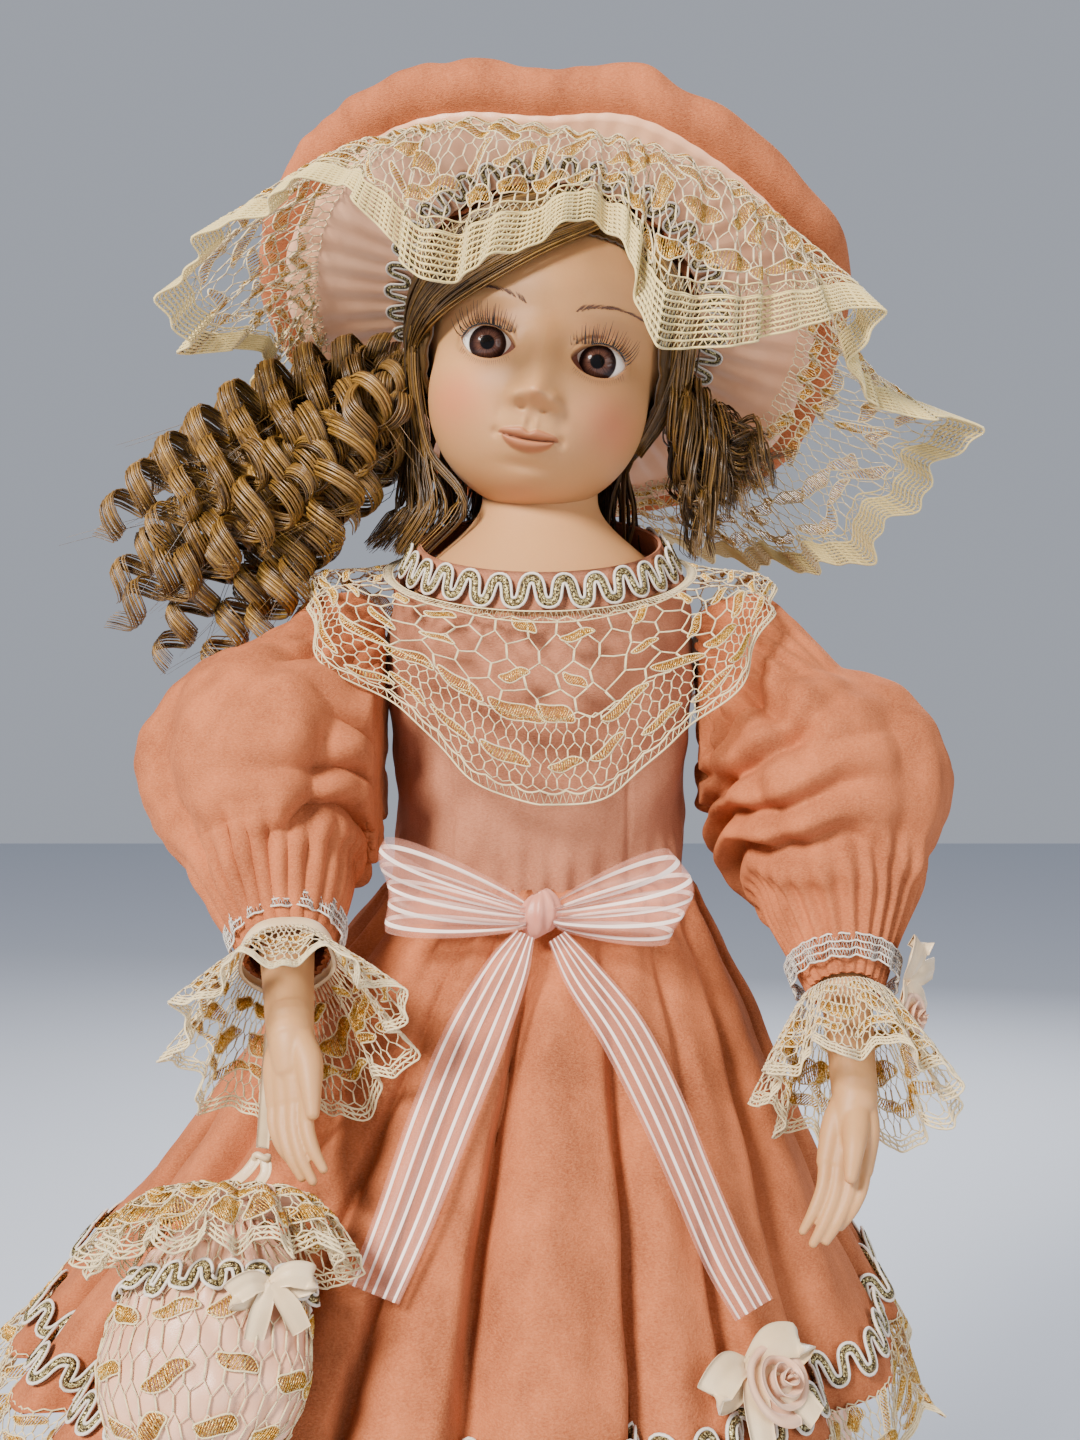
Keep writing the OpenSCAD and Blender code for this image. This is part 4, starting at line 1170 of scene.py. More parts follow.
def build_wig():
    # cap: from behind the hairline over the skull and down to the nape
    rows, cols = 90, 200
    around = ring_angles(cols)[None]
    front = smoothstep(math.radians(75), math.radians(28), np.abs(front_angle(around)))
    lowest = math.radians(-38) + math.radians(74) * front
    t = np.linspace(0.01, 1, rows)[:, None]
    height = math.pi / 2 + (lowest - math.pi / 2) * t
    r = SKULL_R + 1.7 + 0.35 * np.sin(around * 70) * smoothstep(0.1, 0.4, t)
    r = r + 3.0 * smoothstep(0.2, -0.6, np.sin(height))
    grid = mapped(in_head, ring(around, r * np.cos(height), r * np.sin(height)))
    # the cap gets a darker tone than the strands: painted shade for the hair under the locks
    cap = (*cloth_parts(grid, 1.0, True), np.full(2 * rows * cols, 0.25))

    r = np.random.default_rng(12)
    locks = []
    # fringe: swept from the doll's left of the parting, across the forehead and down its right side
    low = np.array([[30, 56], [16, 40], [-14, 18], [-46, -4], [-74, -20], [-86, -40]])
    high = np.array([[12, 64], [-12, 55], [-44, 38], [-68, 16], [-86, -8], [-98, -36]])
    for i in range(42):
        k = i / 41
        way = low * (1 - k) + high * k + r.normal(0, 1.1, low.shape)
        out = np.array([2.4, 3.6, 4.6, 4.6, 4.6, 6.0]) + 0.8 * math.sin(2.2 * i)
        locks.append(lock(in_head([on_scalp(*w, o) for w, o in zip(way, out)]), 15, 2.3, 1.0,
                          100 + i, 24, 0.33))
    # the doll's left: short sweep from the parting and down behind the cheek
    for i in range(20):
        k = i / 19
        start = on_scalp(28 + 12 * k, 58 - 4 * k, 2.2)
        a = on_scalp(50 + 8 * k + r.normal(0, 2), 32, 3.6)
        b = on_scalp(62 + 14 * k + r.normal(0, 2), 4, 4.2)
        c = on_scalp(66 + 16 * k + r.normal(0, 2), -24, 4.6)
        d = on_scalp(70 + 14 * k, -44, 7.0)
        locks.append(lock(in_head([start, a, b, c, d]), 13, 2.6, 1.1, 200 + i, 20, 0.33))
    hair_piece("wig_front", locks + [cap], "wig")

    locks = []
    # back and sides, brushed down from the crown
    for i in range(76):
        azimuth = 84 + 192 * i / 75 + r.normal(0, 1.5)
        path = [on_scalp(azimuth, 78, 2.0), on_scalp(azimuth + r.normal(0, 2), 40, 2.6),
                on_scalp(azimuth, 5, 3.4),
                on_scalp(azimuth + r.normal(0, 2), -28, 4.2),
                on_scalp(azimuth + r.normal(0, 3), -47, 6.0)]
        path = in_head(path)
        if 100 < azimuth < 262:
            drop = path[-1] + [r.normal(0, 1.5), 3 + r.normal(0, 1), -13 + r.normal(0, 1.5)]
            path = np.vstack([path, drop, drop + [r.normal(0, 2), 3.0, -13 + r.normal(0, 2)]])
        locks.append(lock(path, 11, 2.5, 1.0, 300 + i, 22, 0.36))
    # locks that hang beside the face on the doll's right, over the collar
    for i in range(12):
        k = i / 11
        top = in_head([on_scalp(-66 - 16 * k, 20, 3.5), on_scalp(-72 - 12 * k, -18, 4.6)])
        tail = np.array([[-30 - 7 * k, -9 + 14 * k, 423],
                         [-26 - 12 * k + r.normal(0, 2), -13 + 14 * k, 408],
                         [-33 - 13 * k + r.normal(0, 2), -9 + 15 * k, 394 + 5 * k]])
        locks.append(lock(np.vstack([top, tail]), 15, 2.6, 1.6, 400 + i, 34, 0.3))
    hair_piece("wig_back", locks)

    # loose waves on the doll's left, spreading under the hat brim
    locks = []
    for i in range(51):
        k = (i % 17) / 16
        back = 9 * (i // 17) - 4
        top = in_head([on_scalp(64 + 30 * k, 12, 4.0), on_scalp(68 + 26 * k, -14, 5.0)])
        reach = r.uniform(0.7, 1.1)
        t = np.linspace(0.15, 1, 7)
        swing = r.uniform(2.4, 4.2) * np.sin(t * r.uniform(8, 13) + i * 1.7)
        tail = np.stack([36 + (6 + 26 * k) * reach * t + 0.5 * swing,
                         -6 + back + 8 * k + 3 * np.cos(t * 10 + i * 1.7),
                         440 - (44 - 26 * k) * t * r.uniform(0.85, 1.1) + swing], axis=-1)
        locks.append(lock(np.vstack([top, tail]), 12, 2.8, 2.0, 500 + i, 42, 0.27))
    hair_piece("wig_waves", locks)


def ringlet(path, coil, pitch, wide, count, seed):
    """A corkscrew curl: a flat lock of side-by-side strands wound round the path."""
    points = 96
    r = np.random.default_rng(seed)
    line = spline(path, points)
    forward = unit(np.gradient(line, axis=0))
    side = unit(np.cross(forward, [0.2, 0.3, 1.0]))
    top = np.cross(side, forward)
    run = np.concatenate([[0], np.cumsum(np.linalg.norm(np.diff(line, axis=0), axis=1))])
    t = run / run[-1]
    swell = (0.45 + 0.55 * smoothstep(0, 0.25, t)) * (1 - 0.35 * smoothstep(0.75, 1, t))
    phase = r.uniform(0, TURN) + TURN * run / pitch
    offset = np.linspace(-1, 1, count)[:, None] + r.normal(0, 0.06, (count, 1))
    belly = 1 + 0.16 * (1 - offset**2) + r.normal(0, 0.025, (count, 1))
    radius = coil * swell[None] * belly
    angle = phase[None] + r.normal(0, 0.03, (count, 1))
    paths = line[None] + side[None] * (radius * np.cos(angle))[..., None]
    paths = paths + top[None] * (radius * np.sin(angle))[..., None]
    paths = paths + forward[None] * (offset * wide)[..., None]
    size = 0.36 * r.uniform(0.8, 1.15, (count, 1)) * (1 - 0.7 * t[None] ** 12)
    p, f, uv = sweep(paths, size, 3)
    tone = 0.52 + 0.16 * (1 - offset[:, 0] ** 2) + r.normal(0, 0.16, count)
    return p, f, uv, np.repeat(np.clip(tone, 0, 1), points * 3)


def build_ringlets():
    r = np.random.default_rng(21)
    tips = [
        (-119, -2, 402), (-116, 4, 388), (-112, -8, 377), (-108, 8, 417), (-104, -10, 398),
        (-102, 0, 368), (-97, -14, 384), (-94, 6, 402), (-90, -16, 405), (-88, -4, 366),
        (-84, -18, 391), (-82, 10, 380), (-78, -20, 412), (-76, -8, 372), (-72, -22, 398),
        (-70, 12, 392), (-66, -12, 384), (-62, -24, 410), (-60, 0, 396), (-56, -20, 398),
        (-52, -8, 404), (-99, 14, 392), (-86, 18, 400), (-72, 22, 404), (-50, -18, 422),
        (-47, 6, 414),
    ]
    locks = []
    for i, tip in enumerate(tips):
        tip = np.array(tip, float)
        k = i / (len(tips) - 1)
        root = np.array([-36 - 5 * (1 - k), 2 + 9 * math.sin(i * 2.3),
                         446 + 7 * math.cos(i * 1.7) - 8 * k])
        mid = root * 0.5 + tip * 0.5 + [2 * math.sin(i), -4 * math.cos(i * 1.3),
                                        8 + 3 * math.sin(i * 3.1)]
        end = tip + [r.normal(0, 1), r.normal(0, 1), -1]
        locks.append(ringlet([root, root * 0.75 + mid * 0.25 + [0, 0, 2], mid,
                              tip * 0.75 + mid * 0.25, end],
                             r.uniform(5.2, 6.4), r.uniform(10.5, 12.5), 2.7, 13, 700 + i))
    bend = ("arm_right", (-0.08, 0, 0.412), (-0.08, 0, 0.384))
    hair_piece("ringlets_outer", locks[0::2], "ringlets", bend)
    hair_piece("ringlets_inner", locks[1::2], (), bend)
    stray = []
    for i in range(60):
        root = np.array([-40, 5, 440]) + r.normal(0, 5, 3)
        tip = np.array(tips[r.integers(len(tips))]) + r.normal(0, 7, 3)
        mid = (root + tip) / 2 + r.normal(0, 7, 3)
        stray.append(lock([root, mid, tip], 2, 3.5, 2.5, 900 + i, 20, 0.11))
    hair_piece("ringlet_strays", stray, (), bend)


brim = build_hat()
SHEETS[-1][4].extend(build_hat_lace())
build_wig()
build_ringlets()


# ---- bodice and neckline ----

BODICE = np.array([[38.8, 306.2], [38.2, 322], [39, 340], [41, 356], [41.2, 372], [39.6, 384],
                   [37.9, 396], [37, 410]])

BODICE_LOW_Z = 306.0


def build_bodice():
    cols, rows = 380, 120
    angle = ring_angles(cols)[None]
    top = np.full(cols, 390.0)[None]
    for _ in range(6):
        y = -0.9 * np.interp(top, BODICE[:, 1], BODICE[:, 0]) * np.cos(angle)
        rise = -5.2 + math.sin(NECKLINE_TILT) * (y - NECKLINE[1])
        top = NECKLINE[2] + rise / math.cos(NECKLINE_TILT)
    t = np.linspace(0, 1, rows)[:, None]
    z = top + (BODICE_LOW_Z - top) * t
    r = np.interp(z, BODICE[:, 1], BODICE[:, 0])
    grid = ring(angle, r, z, 0.9)
    low = smoothstep(0.72, 1.0, t)
    pull = 0.7 * np.cos(angle * 34 + 1.5 * np.sin(angle * 5)) * low
    from_seam = np.abs(front_angle(angle)) - 0.62
    seam = -0.7 * np.exp(-((from_seam / 0.025) ** 2)) * smoothstep(0.3, 0.7, t)
    crease = 0.8 * wobble(grid * [1, 1, 1.8], 19, 41) + 0.35 * wobble(grid, 7, 42)
    push = pull + seam + crease * smoothstep(0, 0.1, t) * 0.8
    grid = grid + grid_normals(grid, True) * push[..., None]
    bodice = cloth("bodice_velvet", grid, BODICE_VELVET, 1.2, "doll", "bodice")
    SHEETS.append((bodice, grid, "stretched", ["torso"], []))


def half(parts, way):
    """The faces of some parts that are on one side of the doll's middle."""
    points, faces, _ = merge(parts)
    kept = [f[(points[f].mean(1)[:, 0] >= 0) == (way > 0)] for f in faces]
    used = np.unique(np.concatenate([f.ravel() for f in kept]))
    number = np.zeros(len(points), int)
    number[used] = np.arange(len(used))
    return points[used], [number[f] for f in kept]


def build_neckline():
    loops = 27
    angle = ring_angles(LOOP_STEPS * loops)
    path = in_neckline(ring(angle, 35.2, 0.6 + 0.25 * np.cos(9 * angle)))
    slope = math.atan2(4.2, 8.2)
    turned = turn_x(NECKLINE_TILT).T
    side = ring(angle, -math.sin(slope), math.cos(slope) + 0 * angle) @ turned
    up = ring(angle, math.cos(slope), math.sin(slope) + 0 * angle) @ turned
    SHEETS[-1][4].extend(gimp_piece("neck_gimp", "doll", "neck_braid", path, side, up, loops, 9.4,
                                    cord=0.52, foil=0.95))
    t = np.linspace(1, 0, 8)[:, None]
    a = ring_angles(240)[None]
    grid = mapped(in_neckline, ring(a, 34.7 - 4.2 * (t - 0.5) - 0.4, 0.6 + 8.6 * (t - 0.5)))
    cloth("neck_binding", grid, BODICE_VELVET, 0.8, "doll", ())

    # the lace bertha, gathered on the neck seam and falling over bust and shoulders
    cols, rows = 520, 30
    a = ring_angles(cols)
    seam = in_neckline(ring(a, 39.4, -3.2 + 0 * a))
    sag = 56 * np.abs(np.sin(a)) ** np.where(np.sin(a) < 0, 1.4, 1.9) + 1.2 * np.cos(12 * a)
    edge = np.stack([62.5 * np.sin(a), -2.5 - 44.5 * np.cos(a), 329.5 + sag], axis=-1)
    out = unit(ring(a, 1.0, 0.0))
    over_sleeve = np.exp(-(((np.abs(np.sin(a)) - 0.74) / 0.14) ** 2)) * (np.cos(a) > 0)
    over_sleeve = over_sleeve * np.where(np.sin(a) < 0, 1.75, 1.0)
    edge = edge + out * (5.0 * over_sleeve)[:, None]
    lift = 5.0 * np.abs(np.sin(a)) + 2.2 + 2.0 * over_sleeve
    v = np.linspace(0, 1, rows)[:, None, None]
    bend = seam * 0.42 + edge * 0.58 + out * lift[:, None] + [0, 0, 4.5]
    grid = fall(seam, bend, edge, v)
    wave = 1.3 * np.cos(22 * a + 1.4 * np.sin(3 * a)) + 0.8 * np.cos(9 * a + 2)
    grid = grid + grid_normals(grid, True) * (wave[None, :, None] * v**1.2)
    surface = Surface(grid)
    size = np.array([330.0, 46.0])
    threads = net(surface, 38, 4, 0.03, 0.58, 0.24, 51) + net(surface, 130, 5, 0.56, 0.93, 0.15, 52)
    bands = ((0.10, 17, 5.0, 1.3, 0), (0.36, 20, 5.0, 1.2, 0), (0.57, 26, 6.2, 1.9, 0),
             (0.8, 30, 5.6, 1.5, 0))
    strewn = scatter(bands, 53, (0.25, 0.75), 0.025, (0.7, 1.1), (0.8, 1.15), 0.35)
    gold, outline = patches(surface, size, strewn, 54, 0.15, pitch=0.55, thread=0.2, wave=0.35)
    threads.append(outline)
    threads += edging(surface, 0.93, 1.0, 420, 0.26, 0.1, 2, 0.02, 60)
    threads += edging(surface, 0.0, 0.06, 380, 0.22, 0.2, 2)
    for name, way in SIDES:
        bend = ("arm_" + name, (way * 0.031, 0, 0.38), (way * 0.05, 0, 0.38))
        lace = make_mesh("bertha_lace_" + name, *half(threads, way), LACE_THREAD)
        foil = make_mesh("bertha_lace_%s_gold" % name, *half([gold], way), GOLD)
        place(lace, "doll", "lace_collar" if way < 0 else (), bend)
        place(foil, "doll", (), bend)
        SHEETS[-1][4].extend([lace, foil])


# ---- skirts ----

OVERSKIRT = np.array([[40.5, 309], [45, 301], [63, 275], [90, 230], [110, 203]])
OVERSKIRT_LEAN = 0.19
UNDERSKIRT = np.array([[36.6, 307], [39.6, 300], [49, 275], [88, 190], [112, 42]])
UNDERSKIRT_LEAN = 0.08


def skirt_grid(profile, lean, cols, rows, folds, depth, seed, trim=0.0, dip=0.0, flat=0.0):
    """A full gathered skirt: rows run down from the waist, and its folds deepen towards the hem."""
    angle = ring_angles(cols)[None]
    z_top, z_low = profile[0, 1], profile[-1, 1]
    line = profile[::-1]
    t = np.linspace(0, 1, rows)[:, None]
    z = z_top + (z_low - z_top) * t
    r = np.interp(z, line[:, 1], line[:, 0]) + 0 * angle - trim
    phase = folds * angle + 1.5 * np.sin(3 * angle + seed) + 1.1 * np.sin(7 * angle + 2 * seed)
    phase = phase + 0.5 * np.sin(4 * t + 5 * angle)
    soft = 1.0 - 2.3 * (0.5 - 0.5 * np.cos(phase)) ** 2.8
    second = np.cos(phase * 2.0 + 1.3 * np.sin(2 * angle) + 1.0)
    deep = depth * (0.25 * smoothstep(0.0, 0.12, t) + 0.75 * smoothstep(0.0, 0.75, t))
    deep = deep * (0.75 + 0.35 * np.sin(5 * angle + seed))
    gather = 0.8 * np.cos(phase * 2 + 0.4) * smoothstep(0.3, 0.03, t)
    r = r + soft * deep * 0.72 - deep * 0.5 + 0.1 * second * deep + gather
    r = r - 1.1 * smoothstep(0.025, 0.0, t)
    dip = dip * smoothstep(-0.5, 0.8, np.cos(angle)) * smoothstep(0.2, 1.0, t)
    r, z = r + 0.4 * dip, z - dip
    swing = 0.35 * deep / np.maximum(r, 1) * np.sin(phase + 0.8)
    x = r * np.sin(angle + swing) - lean * (WAIST_Z - z)
    y = -r * np.cos(angle + swing) * (1 - flat * smoothstep(0.16, 0.0, t))
    grid = np.stack([x, y, z + 0 * angle + 0.8 * np.sin(phase) * t**3], axis=-1)
    crease = 0.5 * wobble(grid * [1, 1, 0.5], 14, 60 + seed) * smoothstep(0, 0.2, t)
    return grid + grid_normals(grid, True) * crease[..., None]


def on_overskirt(x, z, out):
    """A point over the front of the overskirt, out mm in front of its plain cone."""
    line = OVERSKIRT[::-1]
    r = np.interp(z, line[:, 1], line[:, 0])
    y = -np.sqrt(r**2 - (x + OVERSKIRT_LEAN * (WAIST_Z - z)) ** 2) - out
    return np.stack(np.broadcast_arrays(x, y, z), axis=-1)


def flounce(name, node, grid, columns, rows, bands, seed, scallops, pitch, body="doll", thread=0.2,
            foil=0.2, steps=None):
    """A ruffle of gold and cream lace on the given rows of points."""
    surface = Surface(grid)
    middle = grid[len(grid) // 2]
    across = np.linalg.norm(np.roll(middle, -1, axis=0) - middle, axis=1).sum()
    size = np.array([across, np.linalg.norm(np.diff(grid, axis=0), axis=2).sum(0).mean()])
    threads = net(surface, columns, rows, 0.03, 0.9, thread, seed)
    strewn = scatter(bands, seed + 1, (0.2, 0.8), 0.02, (0.75, 1.15), (0.75, 1.15), 0.3)
    gold, outline = patches(surface, size, strewn, seed + 2, 0.15, pitch=pitch, thread=foil,
                            wave=0.35)
    threads.append(outline)
    threads += edging(surface, 0.9, 0.98, steps or 2 * columns, 0.27, 0.1, 3, 0.02, scallops)
    return lace_piece(name, body, node, threads, gold)


def build_skirts():
    over = skirt_grid(OVERSKIRT, OVERSKIRT_LEAN, 620, 78, 23, 7.6, 1, dip=13.0, flat=0.1)
    overskirt = cloth("overskirt_velvet", over, VELVET, 1.4, "doll", "overskirt")

    line = Surface(over)
    loops = 96
    steps = LOOP_STEPS * loops
    u = 1 - np.arange(steps) / steps
    path = line.at(u, 0.925, 0.9)
    side = unit(line.at(u, 0.88, 0.9) - line.at(u, 0.97, 0.9))
    up = np.cross(side, unit(onward(path)))
    up *= np.sign((up * (path - [0, 0, 240])).sum(-1, keepdims=True))
    trims = gimp_piece("overskirt_gimp", "doll", "overskirt_braid", path, side, up, loops, 9.5,
                       cord=0.55, foil=0.85)

    cols = 700
    a = ring_angles(cols)
    wave = 20 * a + 0.8 * np.sin(3 * a)
    v = np.linspace(0, 1, 18)[:, None]
    seam = line.at(np.arange(cols) / cols, 0.985, 0.3)
    hem_z = 204
    hem_x = -OVERSKIRT_LEAN * (WAIST_Z - hem_z)
    flat = (seam - [hem_x, 0, 0]) * [1, 1, 0]
    reach = np.linalg.norm(flat, axis=1)
    r = reach + (123.5 - reach) * v**0.85
    r = r + 4.2 * np.sin(wave) * v + 1.4 * np.sin(2.6 * wave + 1) * v
    z = seam[:, 2] - 21.0 * v + 2.6 * np.cos(wave) * v - 3 * v * (1 - v)
    out = flat / reach[:, None]
    grid = np.stack([r * out[:, 0] + hem_x - 3.8 * v, r * out[:, 1], z], axis=-1)
    bands = ((0.16, 66, 5.2, 1.6, 0.1), (0.40, 60, 6.4, 2.0, -0.2), (0.62, 64, 6.0, 1.9, 0.25),
             (0.8, 84, 4.4, 1.4, 0))
    trims += flounce("overskirt_flounce", "overskirt_lace", grid, 250, 7, bands, 71, 120, 0.7,
                     foil=0.24)
    SHEETS.append((overskirt, over, "gathered", ["waist_clip", "petticoat_cotton"], list(trims)))

    under = skirt_grid(UNDERSKIRT, UNDERSKIRT_LEAN, 520, 84, 26, 3.8, 2, -0.6)
    underskirt = cloth("underskirt_satin", under, SATIN, 0.8, "doll", "underskirt")
    wave = 24 * a + 0.8 * np.sin(5 * a)
    hem_z = 46
    hem_x = -UNDERSKIRT_LEAN * (WAIST_Z - hem_z)
    r = 112.6 + 9.0 * v + 2.6 * np.sin(wave) * v + 1.0 * np.sin(2.7 * wave) * v
    z = 50 - 23.5 * v + 1.8 * np.cos(wave) * v
    grid = ring(a, r, z) + [hem_x, 0, 0]
    trims = flounce("underskirt_flounce", "underskirt_lace", grid, 230, 6, bands, 81, 120, 0.75,
                    foil=0.25)
    SHEETS.append((underskirt, under, "gathered", ["waist_clip", "petticoat_cotton"], list(trims)))


# ---- ribbons and roses ----

def rose(center, axis, radius, turns, seed):
    """A wound ribbon rose facing along axis: its strip opens outwards as it winds."""
    r = np.random.default_rng(seed)
    side = unit(np.cross(axis, [0.3, 0.2, 1.0]))
    other = np.cross(axis, side)
    cols, rows = 260, 10
    s = np.linspace(0, 1, cols)[None]
    w = np.linspace(0, 1, rows)[:, None]
    theta = TURN * turns * s**0.8 + r.uniform(0, TURN)
    petal = np.abs(np.sin(theta * 0.9 + 0.6))
    base = 0.5 + (radius - 2.4) * s**1.1
    flare = (0.5 + 2.6 * s) * w**2 * (0.65 + 0.35 * petal)
    rad = base + flare - 0.7 * w * (1 - s)
    height = radius * (0.85 - 0.55 * s) * w * (0.8 + 0.25 * petal) - radius * 0.12
    height = height - 1.3 * s * smoothstep(0.8, 1, w)
    grid = (rad * np.cos(theta))[..., None] * side + (rad * np.sin(theta))[..., None] * other
    grid = grid + height[..., None] * axis + center
    # a plug of cloth closes the back
    a = np.arange(40) * TURN / 40
    rad = np.linspace(0.05, 1, 8)[:, None] * (radius - 2.0)
    disc = (rad * np.cos(a))[..., None] * side + (rad * np.sin(a))[..., None] * other
    disc = disc - axis * radius * 0.14 + center
    return merge([cloth_parts(grid, 0.35), cloth_parts(disc, 0.8, True)])


def ribbon(path, width_way, width, thickness, rows, curl, ripple, count):
    """A flat ribbon along path; width_way is across it, as one vector or one for each point."""
    keys = np.asarray(path, float)
    way = np.broadcast_to(np.asarray(width_way, float), keys.shape)
    wide = np.broadcast_to(np.asarray(width, float), (len(keys),))
    table = spline(np.column_stack([keys, way * 40, wide * 4]), count)
    line, way, wide = table[:, :3], table[:, 3:6], table[:, 6] / 4
    forward = unit(np.gradient(line, axis=0))
    way = unit(way - forward * (way * forward).sum(-1, keepdims=True))
    up = np.cross(forward, way)
    w = np.linspace(-1, 1, rows)[:, None]
    lift = curl * (1 - w**2) + ripple * np.cos(w * 7 + 0.6) * np.ones(count)
    grid = line[None] + way[None] * (w * wide / 2)[..., None] + up[None] * lift[..., None]
    return cloth_parts(grid, thickness)


def build_waist_bow():
    cols, rows = 120, 26
    t = np.linspace(0.0, 1, cols)[None]
    w = np.linspace(1, -1, rows)[:, None]
    for side, reach, rise, drop in ((-1, 37.5, 8.5, 0.0), (1, 34.5, 7.5, 2.0)):
        out = np.sin(math.pi * t) ** 0.75
        front = np.cos(math.pi * t)
        x = side * (3.2 + (reach - 3.2 + 1.8 * np.sin(w * 3 + side) - 2.6 * w**2) * out)
        half = 2.6 + 8.0 * out**0.85
        y = -51.0 - 4.4 * front * (0.5 + 0.5 * out) - 1.6 * out
        y = y + 1.4 * np.cos(w * 8.5 + side) * (1 - out * 0.7) + 0.9 * np.sin(w * 4 + 3 * t)
        z = 304.5 + rise * out * 0.75 - drop * out + half * w * (1 - 0.06 * front)
        z = z + 1.2 * np.sin(3 * t)
        z = z - 2.7 * front * out**0.7
        grid = np.stack(np.broadcast_arrays(x, y, z), axis=-1)
        name, outer, nodes = "left", grid, ()
        if side < 0:
            name, outer, nodes = "right", grid[:, ::-1], "bow_loops"
        loop = cloth("waist_bow_loop_" + name, outer, ORGANZA, 0.25, "doll", nodes,
                     False)
        SHEETS.append((loop, grid, "folded", ["overskirt_velvet"], []))

    a = ring_angles(72)[None]
    t = np.linspace(0.03, 0.97, 40)[:, None]
    r = (4.6 * np.sin(math.pi * t) ** 0.45) * (1 + 0.06 * np.cos(9 * a) + 0.05 * np.cos(4 * a + 1))
    grid = np.stack([r * np.sin(a) * 1.05, -50.8 - 0.95 * r * np.cos(a),
                     305 + 5.6 - 11.2 * t + 0 * a + 0.8 * np.sin(a)], axis=-1)
    cloth("waist_bow_knot", grid, KNOT, 0.5, "doll", "bow_knot")

    tails = {
        # x, z and width of the ribbon down its length, and a seed
        "right": ([(-3.5, 300.5, 5), (-8, 292, 11), (-15, 278, 15), (-22, 262, 15),
                   (-29, 244, 13.5), (-35, 230, 12)], 1),
        "left": ([(4, 300, 5), (10, 291, 10), (19, 279, 13), (27, 264, 13.5),
                  (34, 248, 13), (41, 232, 13.5), (47, 221.5, 13)], 2),
    }
    for side, (stations, seed) in tails.items():
        table = np.array(stations, float)
        line = on_overskirt(table[:, 0], table[:, 1], 5.6)
        line[0, 1] = -53.0
        line[:, 1] -= 0.8 * np.sin(np.arange(len(line)) * 1.9 + seed)
        away = np.stack([line[:, 0] + OVERSKIRT_LEAN * (WAIST_Z - line[:, 2]), line[:, 1],
                         0 * line[:, 0]], axis=-1)
        across = np.cross(unit(unit(away) + [0, 0, 0.55]), unit(np.gradient(line, axis=0)))
        rows, cols = 15, 130
        p, f, uv = ribbon(line, across, table[:, 2], 0.25, rows, 0.5, 0.35, cols)
        tail = place(make_mesh("waist_bow_tail_" + side, p, f, ORGANZA, uv), "doll",
                     "bow_tail_" + side)
        SHEETS.append((tail, p[: rows * cols].reshape(rows, cols, 3), "laid", ["overskirt_velvet"],
                       []))


def satin_loops(center, out, across, long, wide, droop):
    """A tied bow of two loops and two short ends. out points away from the cloth it lies on."""
    up = unit(np.cross(out, across))
    parts = []
    for s in (-1, 1):
        path = [center, center + across * s * long * 0.5 + out * 2.2 + up * 1.2,
                center + across * s * long + out * 1.6 - up * droop,
                center + across * s * long * 0.55 + out * 0.2 - up * (droop + 1.0),
                center + out * 0.3]
        widths = [wide * 0.45, wide, wide, wide * 0.9, wide * 0.45]
        parts.append(ribbon(path, up, widths, 0.35, 9, 0.4, 0.12, 70))
        path = [center + out * 0.8, center + across * s * long * 0.35 - up * long * 0.6 + out * 1.6,
                center + across * s * long * 0.6 - up * long * 1.25 + out * 0.8]
        widths = [wide * 0.5, wide * 0.85, wide * 0.8]
        parts.append(ribbon(path, across, widths, 0.35, 7, 0.3, 0.1, 50))
    return parts


def build_roses():
    seat = on_overskirt(np.array(51.0), np.array(208.0), 4.5)
    axis = unit(np.array([0.52, -0.61, 0.6]))
    piece("hem_satin_rose", [rose(seat, axis, 8.6, 4.4, 4)], ROSE_SATIN, "doll", "hem_rose")
    bow_at = seat - axis * 1.5 + [-5, 0, 4.5]
    bow = satin_loops(bow_at, axis, unit(np.array([0.75, 0.55, 0.2])), 13, 7.5, 1.5)
    piece("hem_rose_bow", bow, CREAM_SATIN, "doll", ())
    arm = ARMS["left"]
    along = unit(arm["wrist"] - arm["elbow"])
    seat = arm["elbow"] + 48 * along + [14, 0, 0]
    axis = unit(np.array([0.8, -0.6, 0.05]))
    flower = rose(seat + axis * 1.5 + [0, 0, -3], axis, 6.6, 3.8, 5)
    piece("cuff_satin_rose", [flower], ROSE_SATIN, "arm_left", "cuff_rose")
    bow = satin_loops(seat + axis * 0.6 + [0, 0, 5], axis, unit(np.array([0.25, 0.2, 0.95])), 9.5,
                      7.0, 0.5)
    piece("cuff_bow", bow, CREAM_SATIN, "arm_left", ())


# ---- arms ----

def cone_distance(p, a, b, ra, rb):
    way = b - a
    h = np.clip(((p - a) @ way) / (way @ way), 0, 1)
    return np.linalg.norm(p - a - h[..., None] * way, axis=-1) - (ra + (rb - ra) * h)


def forearm_axes(arm):
    """Unit vectors along the forearm and two ways across it."""
    axis = unit(arm["wrist"] - arm["elbow"])
    b = unit(np.cross(axis, [0.0, 0, 1]))
    return axis, b, np.cross(axis, b)


def round_forearm(arm, start, a, r, reach):
    """Points r from the forearm's axis at angle a, reach past start along it."""
    axis, b, c = forearm_axes(arm)
    points = start + axis * reach[..., None] + b * (r * np.cos(a))[..., None]
    return points + c * (r * np.sin(a))[..., None]


def pinch(d, wide):
    """The cross-section of a crease: a narrow valley between two soft lips."""
    lips = 0.55 * np.exp(-(((np.abs(d) - 2.1 * wide) / (1.3 * wide)) ** 2))
    return lips - np.exp(-((d / wide) ** 2))


